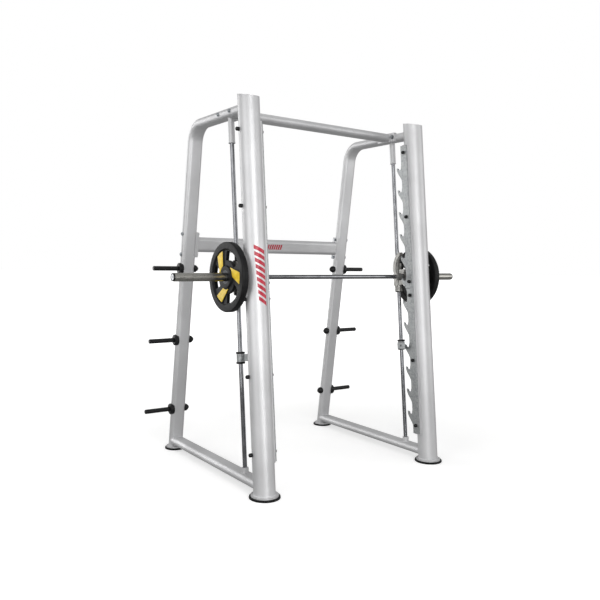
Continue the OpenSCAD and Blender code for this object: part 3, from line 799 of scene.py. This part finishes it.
def repeated(name, template_shape, spots, material, body, replaced=(), size=1.0, seed=1):
    """A piece that is one template at every spot. A spot is (place, direction)."""
    soften_shading(template_shape)
    template_mesh = bpy.data.meshes.new(name + "_template")
    template_shape.to_mesh(template_mesh)
    template_shape.free()
    template = bpy.data.objects.new(name + "_template", template_mesh)
    points = bpy.data.meshes.new(name + "_points")
    points.from_pydata([tuple(place) for place, _ in spots], [], [])
    aim = points.attributes.new("aim", "FLOAT_VECTOR", "POINT")
    for index, (_, direction) in enumerate(spots):
        aim.data[index].vector = direction
    mesh = grow(REPEAT, points, {"Template": template, "Size": size, "Spin Seed": seed,
                                 "Material": material})
    bpy.data.objects.remove(template)
    bpy.data.meshes.remove(template_mesh)
    return finish_mesh(name, mesh, material, body, replaced)


inputs = [item.name for item in REPEAT.interface.items_tree if item.in_out == "INPUT"]
print("inputs of the repeating tree:", inputs)

# %% [markdown]
# ## Domed caps
# Each through bolt of the toothed plates ends in a pressed-on nylon dome, and each storage
# horn's bolt ends in a larger cone on the inner side of the leg. Both are turned shapes, so
# each is spun once and repeated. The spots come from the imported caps, which are separate
# lumps of one part: a lump's box gives its place, and its side gives its direction.

# %% Finding the lumps of a part


def lumps(node):
    """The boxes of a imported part's separate lumps."""
    shape = bmesh.new()
    shape.from_mesh(NODES[node].data)
    bmesh.ops.remove_doubles(shape, verts=shape.verts, dist=MERGE_M)
    unseen, boxes = set(shape.verts), []
    while unseen:
        pile, island = [unseen.pop()], []
        while pile:
            vertex = pile.pop()
            island.append(vertex.co)
            for edge in vertex.link_edges:
                other = edge.other_vert(vertex)
                if other in unseen:
                    unseen.remove(other)
                    pile.append(other)
        boxes.append([Vector(pick(point[axis] for point in island) for axis in range(3))
                      for pick in (min, max)])
    shape.free()
    return sorted(boxes, key=lambda box: tuple(round(c, 4) for c in box[0]))


def cap_spots(node, inward_only=False):
    """Where each cap stands and which way it points."""
    spots = []
    for low, high in lumps(node):
        middle = (low + high) / 2
        side = 1 if middle.x > 0 else -1
        outward = abs(middle.x) > HALF and not inward_only
        direction = ACROSS * side * (1 if outward else -1)
        base = low.x if direction.x > 0 else high.x
        spots.append((Vector((base, middle.y, middle.z)), direction))
    return spots


print("bolt caps found:", len(lumps("bolt_caps")), "horn caps:", len(lumps("horn_caps")))

# %% Bolt caps and horn caps
STAND_OFF_MM = 9.4
DOME = [(0, 0), (11.5, 0), (11.5, 7), (10.9, 10.5), (9.2, 13.6), (6.4, 15.4), (3, 15.9), (0, 16)]
TALL_DOME = [(0, 0)] + [(radius, height + STAND_OFF_MM) if height else (radius, 0)
                        for radius, height in DOME[1:]]
all_spots = cap_spots("bolt_caps")
inner = [spot for spot in all_spots if abs(spot[0].x) < HALF]
outer = [spot for spot in all_spots if abs(spot[0].x) > HALF]
repeated("inner_bolt_caps", spin(DOME, 28), inner, NYLON, "frame", ["bolt_caps"])
repeated("outer_bolt_caps", spin(TALL_DOME, 28), outer, NYLON, "frame")

CONE = [(0, 4), (25, 4), (25, 17), (24.2, 21), (22, 25.5), (18.5, 30.5), (13, 36.5), (8, 40.5),
        (4, 41.7), (0, 42)]
repeated("horn_cone_caps", spin(CONE, 40), cap_spots("horn_caps", True), NYLON, "frame",
         ["horn_caps"])

# %% [markdown]
# ## The crossmember bolts
# Each crossmember is held by button-headed bolts whose nuts are on the inner side, with a
# washer under both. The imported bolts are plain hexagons, so each end is made again: a turned
# button with its socket, a chamfered nut with the bolt's end standing out, and flat washers.
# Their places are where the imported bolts' heads and nuts meet the tubes.

# %% Bolt ends
WASHER_MM = 2.4
HEAD_MM = 8
NUT_AND_STUB_MM = 14
WASHER = fillet([(6.6, 0), (14, 0), (14, WASHER_MM), (6.6, WASHER_MM)], [0.3, 0.8, 0.8, 0.3], 2)
BUTTON = [(0, WASHER_MM), (10.5, WASHER_MM), (10.5, 3.4), (9.9, 5.0), (8.4, 6.7), (6.4, 7.7),
          (4.2, 8.0), (3.9, 7.8), (3.9, 4.2), (0, 4.0)]
STUB = [(0, 10), (5.6, 10), (5.6, 12.6), (4.7, 13.8), (0, 13.8)]


def hex_nut():
    """A nut's six flats, with the corners turned off by a cone at both ends."""
    shape = bmesh.new()
    rings = []
    for radius, height in ((9.6, WASHER_MM), (10.5, 3.2), (10.5, 10.4), (9.6, 11.2)):
        rings.append([shape.verts.new((radius * MM * math.cos(a), radius * MM * math.sin(a),
                                       height * MM))
                      for a in (math.pi * i / 3 for i in range(6))])
    for lower, upper in zip(rings, rings[1:]):
        for i in range(6):
            j = (i + 1) % 6
            shape.faces.new((lower[i], lower[j], upper[j], upper[i]))
    shape.faces.new(rings[0])
    shape.faces.new(rings[-1])
    bmesh.ops.recalc_face_normals(shape, faces=shape.faces)
    return shape


head_spots, nut_spots = [], []
for low, high in lumps("frame_bolts"):
    middle = (low + high) / 2
    side = 1 if middle.x > 0 else -1
    outer_end, inner_end = (high.x, low.x) if side > 0 else (low.x, high.x)
    head_spots.append((Vector((outer_end - side * HEAD_MM * MM, middle.y, middle.z)),
                       ACROSS * side))
    nut_spots.append((Vector((inner_end + side * NUT_AND_STUB_MM * MM, middle.y, middle.z)),
                      -ACROSS * side))
repeated("flat_washers", spin(WASHER, 32, closed=True), head_spots + nut_spots, FASTENER,
         "frame", seed=3)
repeated("button_heads", spin(BUTTON, 28), head_spots, FASTENER, "frame",
         ["frame_bolts"], seed=4)
nut = join([(hex_nut(), Matrix()), (spin(STUB, 20), Matrix())])
repeated("hex_nuts", nut, nut_spots, FASTENER, "frame", seed=5)

# %% [markdown]
# ## Weld beads
# Every fixed joint of the frame is a fillet weld that was painted over. Each path below is
# the true line where two tubes meet, worked out from their sections: a round column cut by a
# level plate, a flat-oval tube against a round column, a flat-oval tube against a flange.

# %% The lines where tubes meet
COLUMN_R = 63.5
TUBE_HALF_W = 50.0
TUBE_HALF_T = 25.0
LEG_LEAN = math.radians(7.74)
BASE_Z = 60.0
UPPER_Z = 2195.0
ROD_BEHIND = 207
SOCKET_R = 21
SLEEVE_R = 19
END_FLANGE_T = 9
REAR = box_middle("rear_pad_right")
LEG_UP = Vector((0, -math.sin(LEG_LEAN), math.cos(LEG_LEAN)))
LEG_BEHIND = Vector((0, math.cos(LEG_LEAN), math.sin(LEG_LEAN)))


def oval(half_width, half_height, steps=12):
    """A flat-oval outline, in millimetres."""
    points = []
    for end in (1, -1):
        for step in range(steps + 1):
            angle = math.pi * (step / steps - 0.5)
            points.append((end * (half_width - half_height + half_height * math.cos(angle)),
                           end * half_height * math.sin(angle)))
    return points


def ring_on_level(radius, behind, z_mm, steps=72):
    """Where a round part of the leaning frame meets a level face."""
    loop = []
    for i in range(steps):
        angle = 2 * math.pi * i / steps
        x, u = radius * math.cos(angle), behind + radius * math.sin(angle)
        along = (z_mm + u * UP_ROD.y) / UP_ROD.z
        loop.append(leaning(x, u, along))
    return loop


def tube_on_column(z_mm, half_width, half_height):
    """Where a level side tube meets the back of the column."""
    loop = []
    for x, dz in oval(half_width, half_height):
        u = math.sqrt(COLUMN_R ** 2 - x * x)
        z = z_mm + dz
        loop.append(leaning(x, u, (z + u * UP_ROD.y) / UP_ROD.z))
    return loop


def tube_on_leg(z_mm, half_width, half_height):
    """Where the base tube meets the front of the rear leg."""
    loop = []
    for x, dz in oval(half_width, half_height):
        past = max(0.0, abs(x) - (TUBE_HALF_W - TUBE_HALF_T))
        thick = math.sqrt(max(0.0, TUBE_HALF_T ** 2 - past * past))
        z = z_mm + dz
        y = REAR.y / MM - z * math.tan(LEG_LEAN) - thick / math.cos(LEG_LEAN)
        loop.append(Vector((HALF / MM + x, y, z)) * MM)
    return loop


def leg_on_flange(z_mm):
    """Where the rear leg stands on its foot flange."""
    lean_sin, lean_cos = math.sin(LEG_LEAN), math.cos(LEG_LEAN)
    return [Vector((HALF / MM + x, REAR.y / MM + (y - z_mm * lean_sin) / lean_cos, z_mm)) * MM
            for x, y in oval(TUBE_HALF_W, TUBE_HALF_T)]


def cross_on_flange(node, along, thick):
    """Where a crossmember's tube meets its end flange."""
    middle = box_middle(node)
    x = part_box(node)[1].x - END_FLANGE_T * MM
    return [Vector((x, middle.y, middle.z)) + (along * a + thick * b) * MM
            for a, b in oval(TUBE_HALF_W, TUBE_HALF_T)]


def rail_stitches(side_u):
    """Short welds down the hook rail's edge, 52 mm long and one to each tooth."""
    x = -math.sqrt(COLUMN_R ** 2 - side_u * side_u)
    return [[leaning(x, side_u, start + 4 * i) for i in range(14)]
            for start in range(215, 2100, 150)]


print("stitches on one edge of a rail:", len(rail_stitches(0)))

# %% Laying the beads
FLANGE_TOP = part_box("front_flange_right")[1].z / MM
LOOPS = [
    ring_on_level(COLUMN_R, 0, FLANGE_TOP),
    ring_on_level(SOCKET_R, ROD_BEHIND, BASE_Z + TUBE_HALF_T),
    ring_on_level(SLEEVE_R, ROD_BEHIND, UPPER_Z - TUBE_HALF_T),
    tube_on_column(BASE_Z, TUBE_HALF_W - 2, TUBE_HALF_T),
    tube_on_column(UPPER_Z, TUBE_HALF_W, TUBE_HALF_T),
    tube_on_leg(BASE_Z, TUBE_HALF_W - 2, TUBE_HALF_T),
    leg_on_flange(FLANGE_TOP),
    cross_on_flange("top_crossmember", Vector((0, 1, 0)), Vector((0, 0, 1))),
    cross_on_flange("rear_crossmember", LEG_UP, LEG_BEHIND),
]
STITCHES = rail_stitches(-14) + rail_stitches(34)
RIPPLE_MM = 2.6
BEAD_R = 2.9


def weld_paths(side):
    """All welds of one side as the edges of one mesh."""
    points, edges = [], []
    for path, is_loop in [(p, True) for p in LOOPS] + [(p, False) for p in STITCHES]:
        first = len(points)
        points += [(side * p.x, p.y, p.z) for p in path]
        edges += [(first + i, first + i + 1) for i in range(len(path) - 1)]
        if is_loop:
            edges.append((len(points) - 1, first))
    mesh = bpy.data.meshes.new("weld_paths")
    mesh.from_pydata(points, edges, [])
    return mesh


for side, sign in SIDES.items():
    beads = grow(WELD, weld_paths(sign), {
        "Ripple Pitch": RIPPLE_MM * MM, "Bead Radius": BEAD_R * MM,
        "Size Seed": 7 + sign, "Material": PAINT})
    for polygon in beads.polygons:
        polygon.use_smooth = True
    finish_mesh("weld_beads_" + side, beads, PAINT, "frame")

# %% [markdown]
# ## Rubber feet and bumpers
# The feet are moulded discs with a rounded shoulder and two gripping grooves in the edge.
# The stop's bumpers are rubber rings that soften the carriage's landing. Both are turned
# profiles. The front pads keep their anchor holes: the same boolean cut that a drill makes.

# %% Pads


def pad_profile(radius, height=12.0):
    return [(0, 0), (radius - 1.5, 0), (radius, 1.5), (radius, 3.2), (radius - 1.3, 4.0),
            (radius - 1.3, 5.0), (radius, 5.8), (radius, 7.2), (radius - 1.3, 8.0),
            (radius - 1.3, 8.6), (radius - 0.6, 9.4), (radius - 1.4, 11.2),
            (radius - 3.4, height), (0, height)]


def cut(shape, cutter, name):
    """Takes a cutter's shape out of a shape."""
    cutter_mesh = bpy.data.meshes.new("cutter")
    cutter.to_mesh(cutter_mesh)
    cutter.free()
    tool = bpy.data.objects.new("cutter", cutter_mesh)
    bpy.context.scene.collection.objects.link(tool)
    result = applied(name, shape, [("BOOLEAN", {"object": tool, "operation": "DIFFERENCE",
                                                "solver": "EXACT"})])
    bpy.data.objects.remove(tool)
    bpy.data.meshes.remove(cutter_mesh)
    return shape_of(result)


ANCHOR_CIRCLE_R = 71.5
ANCHOR_HOLE_R = 4.5
anchor_drills = join([
    (spin([(0, -5), (ANCHOR_HOLE_R, -5), (ANCHOR_HOLE_R, 30), (0, 30)], 20),
     Matrix.Translation(FOOT + Vector((math.cos(a), math.sin(a), 0)) * ANCHOR_CIRCLE_R * MM))
    for a in (math.radians(angle) for angle in (45, 135, 225, 315))
])
front_pad = spin(pad_profile(90), 96)
front_pad.transform(Matrix.Translation(FOOT))
both_sides("rubber_front_pad_{}", cut(front_pad, anchor_drills, "front_pad"), RUBBER, "frame",
           ["front_pad_{}"])
rear_pad = spin(pad_profile(71), 96)
rear_pad.transform(Matrix.Translation((REAR.x, REAR.y, 0)))
both_sides("rubber_rear_pad_{}", rear_pad, RUBBER, "frame", ["rear_pad_{}"])

# %% Bumpers on the safety stops
BUMPER = fillet([(17, 24), (26.5, 24), (26.5, 35), (17, 35)], [0.4, 2.6, 2.6, 0.4], 4)
LOWER_BUMPER = [(radius, -height) for radius, height in BUMPER]
bumpers = join([(spin(profile, 56, closed=True), along_rod.copy())
                for profile in (BUMPER, LOWER_BUMPER)])
both_sides("rubber_bumpers_{}", bumpers, RUBBER, "stop_{}", ["stop_bumpers_{}"])

# %% [markdown]
# ## The weight plates
# A training plate is an iron disc in a rubber skin, with a thick rim, a thin web, a raised
# hub and three openings to grip it by. Its spokes are swept a little to one side and carry
# yellow panels. The disc is a turned ring. The openings are cut from it by a boolean, and a
# Bevel rounds their edges to the radius that a mould leaves.

# %% Plate helpers
PLATE_FACE_IN = abs(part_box("weight_plate_right")[0].x)
SPOKES = (-5, 115, 235)


def polar(radius, degrees):
    angle = math.radians(degrees)
    return (radius * math.cos(angle), radius * math.sin(angle))


def swept(inner_r, outer_r, inner_from, inner_to, outer_from, outer_to, steps=8):
    """An outline between two arcs whose ends may be turned against each other."""
    outline = [polar(outer_r, outer_from + (outer_to - outer_from) * i / steps)
               for i in range(steps + 1)]
    outline += [polar(inner_r, inner_to + (inner_from - inner_to) * i / steps)
                for i in range(steps + 1)]
    return outline


def on_plate(shape):
    """Moves a shape from a drawing of the left plate's face to its place on the right plate.

    The right plate is the left one's mirror image, so the faces are turned back outwards.
    """
    shape.transform(axes(-BEHIND, UP_ROD, ACROSS, Vector((PLATE_FACE_IN, BAR.y, BAR.z))))
    bmesh.ops.reverse_faces(shape, faces=shape.faces)
    return shape


print("plates start", round(PLATE_FACE_IN / MM), "mm from the middle")

# %% Plate body
DISC = fillet(
    [(40, 0), (62, 0), (67, 10), (156, 10), (163, 1), (202, 1), (202, 39), (163, 39), (156, 30),
     (67, 30), (62, 40), (40, 40)],
    [0.6, 3, 3, 5, 3, 7, 7, 3, 5, 3, 3, 0.6], 4)
openings = join([
    (slab(swept(96, 151, spoke + 34, spoke + 95, spoke + 31, spoke + 89), -10, 50), Matrix())
    for spoke in SPOKES
])
disc = cut(spin(DISC, 144, closed=True), openings, "disc")
disc = shape_of(applied("disc", disc, [bevel_settings(2.2, 48, 3)]))
both_sides("rubber_plate_{}", on_plate(disc), RUBBER, "plate_{}",
           ["weight_plate_{}"])

# %% Spoke pads and yellow panels
SPOKE_PAD = dict(inner_r=66, outer_r=158, inner_from=-4, inner_to=55,
                 outer_from=-17.5, outer_to=14.5)
PANEL = dict(inner_r=72, outer_r=154, inner_from=2, inner_to=50, outer_from=-14, outer_to=11)


def turned_by(angle, edges):
    return {name: value + (angle if name.endswith(("from", "to")) else 0)
            for name, value in edges.items()}


def raised_panels(edges, low, high, edge_mm):
    flat = join([(slab(swept(**turned_by(spoke, edges)), low, high), Matrix())
                 for spoke in SPOKES])
    return on_plate(shape_of(applied("panels", flat, [bevel_settings(edge_mm, 40, 3)])))


both_sides("plate_spoke_pads_{}", raised_panels(SPOKE_PAD, 6, 34, 1.6), RUBBER, "plate_{}")
both_sides("plate_yellow_panels_{}", raised_panels(PANEL, 33, 35.6, 0.8), YELLOW, "plate_{}")

# %% [markdown]
# ## The ends of the bar
# Each loading sleeve is closed by a cap that a snap ring holds: a dark ring round a bright
# turned disc with a centre hole from the lathe. It is one spun profile for the ring and one
# for the disc.

# %% Sleeve end caps
sleeve_end = Vector((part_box("sleeve_end_caps")[1].x, BAR.y, BAR.z))
end_place = facing(ACROSS, sleeve_end)
RING = fillet([(17.5, -10), (22.5, -10), (22.5, -1), (17.5, -1)], [0.3, 0.3, 1.6, 1.0], 3)
DISC_END = [(0, -10), (17.4, -10), (17.4, -2.6), (16.6, -2.0), (5.2, -2.0), (4.6, -2.4),
            (0, -6)]
ring = spin(RING, 64, closed=True)
ring.transform(end_place)
both_sides("sleeve_snap_ring_{}", ring, NYLON, "bar", ["sleeve_end_caps"])
disc = spin(DISC_END, 64)
disc.transform(end_place)
both_sides("sleeve_end_disc_{}", disc, TURNED, "bar")

# %% [markdown]
# ## Seals and collars on the carriage
# A linear bearing keeps its grease behind a rubber wiper at each end of the housing, and a
# steel shaft collar on either side of the bar's bearing keeps the bar centred. They are
# rings again, so they are spun and set along the rod and along the bar.

# %% Wipers and shaft collars
CARRIAGE_HALF = 98
on_rod = STOP + UP_ROD * (Vector((HALF, BAR.y, BAR.z)) - STOP).dot(UP_ROD)
WIPER = fillet([(13.6, 0), (24.5, 0), (22.5, 5.5), (13.6, 5.5)], [0.3, 1.0, 1.6, 0.8], 3)
wipers = join([
    (spin(WIPER, 48, closed=True),
     facing(UP_ROD * end, on_rod + UP_ROD * end * CARRIAGE_HALF * MM))
    for end in (1, -1)
])
both_sides("rod_wipers_{}", wipers, RUBBER, "carriage")

COLLAR = fillet([(14.1, 0), (21, 0), (21, 11), (14.1, 11)], [0.4, 1.4, 1.4, 0.4], 3)
collars = join([
    (spin(COLLAR, 56, closed=True), facing(ACROSS, Vector((HALF + x * MM, BAR.y, BAR.z))))
    for x in (-50, 36)
])
both_sides("shaft_collars_{}", collars, FASTENER, "bar")

# %% [markdown]
# ## Red bars
# Plain slanted red bars are cut from vinyl film, one row down the left column and a short
# one on the rear crossmember. Film follows what it is stuck to, so the column's bars are
# drawn on a grid that wraps round it. An image texture would be quicker, but it would have
# no thickness and no edge to catch the light.

# %% Red film
FILM_MM = 0.35
START_DEGREES = -26
COLUMN_BAR_MM = 23
RISE_MM = 34
FILM_GAP_MM = 0.02


def film_patch(grid_point, columns=10, rows=3):
    """A thin closed patch. grid_point(s, t, lift) places each corner, with s and t from 0 to 1."""
    shape = bmesh.new()
    layers = []
    for lift in (FILM_GAP_MM, FILM_MM):
        layers.append([[shape.verts.new(grid_point(c / columns, r / rows, lift))
                        for c in range(columns + 1)] for r in range(rows + 1)])
    low, high = layers
    for r in range(rows):
        for c in range(columns):
            for layer in layers:
                near, far = layer[r], layer[r + 1]
                shape.faces.new((near[c], near[c + 1], far[c + 1], far[c]))
    border = [(0, c) for c in range(columns)] + [(r, columns) for r in range(rows)]
    border += [(rows, c) for c in range(columns, 0, -1)] + [(r, 0) for r in range(rows, 0, -1)]
    for index, (r, c) in enumerate(border):
        r2, c2 = border[(index + 1) % len(border)]
        shape.faces.new((low[r][c], low[r2][c2], high[r2][c2], high[r][c]))
    bmesh.ops.recalc_face_normals(shape, faces=shape.faces)
    return shape


def column_bar(bottom_mm, end_degrees):
    """One bar round the column, from START_DEGREES to end_degrees and RISE_MM up as it goes."""
    def place(s, t, lift):
        angle = math.radians(START_DEGREES + (end_degrees - START_DEGREES) * s)
        along = bottom_mm + COLUMN_BAR_MM * t + RISE_MM * s
        radius = COLUMN_R + lift
        point = leaning(radius * math.sin(angle), -radius * math.cos(angle), along)
        return Vector((-point.x, point.y, point.z))
    return film_patch(place)


column_bars = join([(column_bar(1075 + 36 * i, 20 + 2 * i), Matrix()) for i in range(9)])
finish_piece("red_bars_column", column_bars, RED, "frame")

# %% Red film on the crossmember
CROSS_BAR_MM = 36
cross_middle = box_middle("rear_crossmember")


def cross_bar(left_mm):
    def place(s, t, lift):
        outwards = -LEG_BEHIND * (TUBE_HALF_T + lift) * MM
        across = ACROSS * (left_mm + 12 * s + 10 * t) * MM
        upwards = LEG_UP * (t - 0.5) * CROSS_BAR_MM * MM
        return Vector((0, cross_middle.y, cross_middle.z)) + outwards + across + upwards
    return film_patch(place, 4, 3)


cross_bars = join([(cross_bar(-60 + 18 * i), Matrix()) for i in range(8)])
finish_piece("red_bars_crossmember", cross_bars, RED, "frame")

# %% [markdown]
# ## Floor and light
# Bare metal shows what it reflects, so the surround matters as much as the lamps. Against
# plain white every tube would wash out. The camera therefore sees white, while everything
# else sees a grey dome, and six soft panels are hung in front of it: one each to the front,
# left, rear, right and above, and a tall narrow one that draws the bright line down a tube.
# The floor is pale paper. It glows more with distance, so it runs on into the white
# without an edge, and it is hidden from reflections, where the dome takes its place.

# %% Floor


def studio_floor():
    """Pale seamless paper with a painted glow: its emission grows with distance, so it runs on into the white."""
    material, tree, shader, at = start_material("pale_studio_paper", Metallic=0.0, Roughness=0.8)
    mottle = add(tree, "ShaderNodeTexNoise", Vector=at, Scale=per_metre(700), Detail=4.0)
    tone = two_tone(tree, mottle.outputs["Fac"], "#d2d2d1", "#d8d8d8", 0.3, 0.7)
    tree.links.new(tone, shader.inputs["Base Color"])
    # painted light: the floor's emission rises from 0.47 near the machine to 1.0 six metres out
    away = add(tree, "ShaderNodeVectorMath", {"operation": "LENGTH"}, _0=at)
    glow = add(tree, "ShaderNodeMapRange", Value=away.outputs["Value"], From_Min=1.2,
               From_Max=6.0, To_Min=0.47, To_Max=1.0)
    tree.links.new(glow.outputs["Result"], shader.inputs["Emission Strength"])
    shader.inputs["Emission Color"].default_value = linear("#ffffff")
    return material


floor_shape = bmesh.new()
bmesh.ops.create_grid(floor_shape, x_segments=1, y_segments=1, size=60)
floor_mesh = bpy.data.meshes.new("floor")
floor_shape.to_mesh(floor_mesh)
floor_shape.free()
floor_mesh.materials.append(studio_floor())
floor = bpy.data.objects.new("floor", floor_mesh)
bpy.context.scene.collection.objects.link(floor)
floor.visible_glossy = False
floor.visible_diffuse = False
print("floor material:", floor_mesh.materials[0].name)

# %% Lights
world = bpy.data.worlds.new("studio_surround")
world.use_nodes = True
sky = world.node_tree
surround = sky.nodes["Background"]
direction = add(sky, "ShaderNodeTexCoord").outputs["Generated"]
height = add(sky, "ShaderNodeSeparateXYZ", Vector=direction).outputs["Z"]
raised = add(sky, "ShaderNodeMapRange", Value=height, From_Min=-1.0, From_Max=1.0)
dome = add(sky, "ShaderNodeValToRGB", Fac=raised.outputs["Result"])
DOME_STOPS = [(0.0, 0.22), (0.42, 0.38), (0.5, 0.47), (0.62, 0.48), (1.0, 0.45)]
while len(dome.color_ramp.elements) < len(DOME_STOPS):
    dome.color_ramp.elements.new(0.5)
for stop, (position, grey) in zip(dome.color_ramp.elements, DOME_STOPS):
    stop.position = position
    stop.color = (grey, grey, grey, 1)
seen = add(sky, "ShaderNodeLightPath").outputs["Is Camera Ray"]
backdrop = add(sky, "ShaderNodeMix", {"data_type": "RGBA"}, _0=seen, _6=dome.outputs["Color"],
               _7=(1, 1, 1, 1))
sky.links.new(backdrop.outputs[2], surround.inputs["Color"])
bpy.context.scene.world = world
bpy.context.scene.view_settings.view_transform = "Standard"


def panel_light(name, place, target, width, height, watts):
    data = bpy.data.lights.new(name, "AREA")
    data.shape = "RECTANGLE"
    data.size, data.size_y, data.energy = width, height, watts
    light = bpy.data.objects.new(name, data)
    bpy.context.scene.collection.objects.link(light)
    aim = Vector(target) - Vector(place)
    turn = aim.to_track_quat("-Z", "Y").to_matrix().to_4x4()
    light.matrix_world = Matrix.Translation(place) @ turn
    light.visible_camera = False
    return light


panel_light("line_panel", (-0.9, -2.25, 1.5), (-0.9, 0, 1.3), 0.22, 3.4, 15)
panel_light("front_softbox", (-1.8, -5.0, 2.2), (-0.4, 0, 1.2), 3.6, 3.4, 95)
panel_light("left_softbox", (-5.0, -1.4, 2.0), (-0.6, -0.4, 1.2), 3.4, 3.4, 78)
panel_light("rear_softbox", (-2.7, 4.6, 2.0), (-0.2, 0.2, 1.2), 3.2, 3.8, 78)
panel_light("right_softbox", (4.6, -4.4, 2.2), (0, 0, 1.2), 3.4, 3.4, 66)
panel_light("top_panel", (0.0, 0.3, 4.6), (0, 0, 0), 4.0, 4.0, 16)
print("lights:", len(bpy.data.lights))
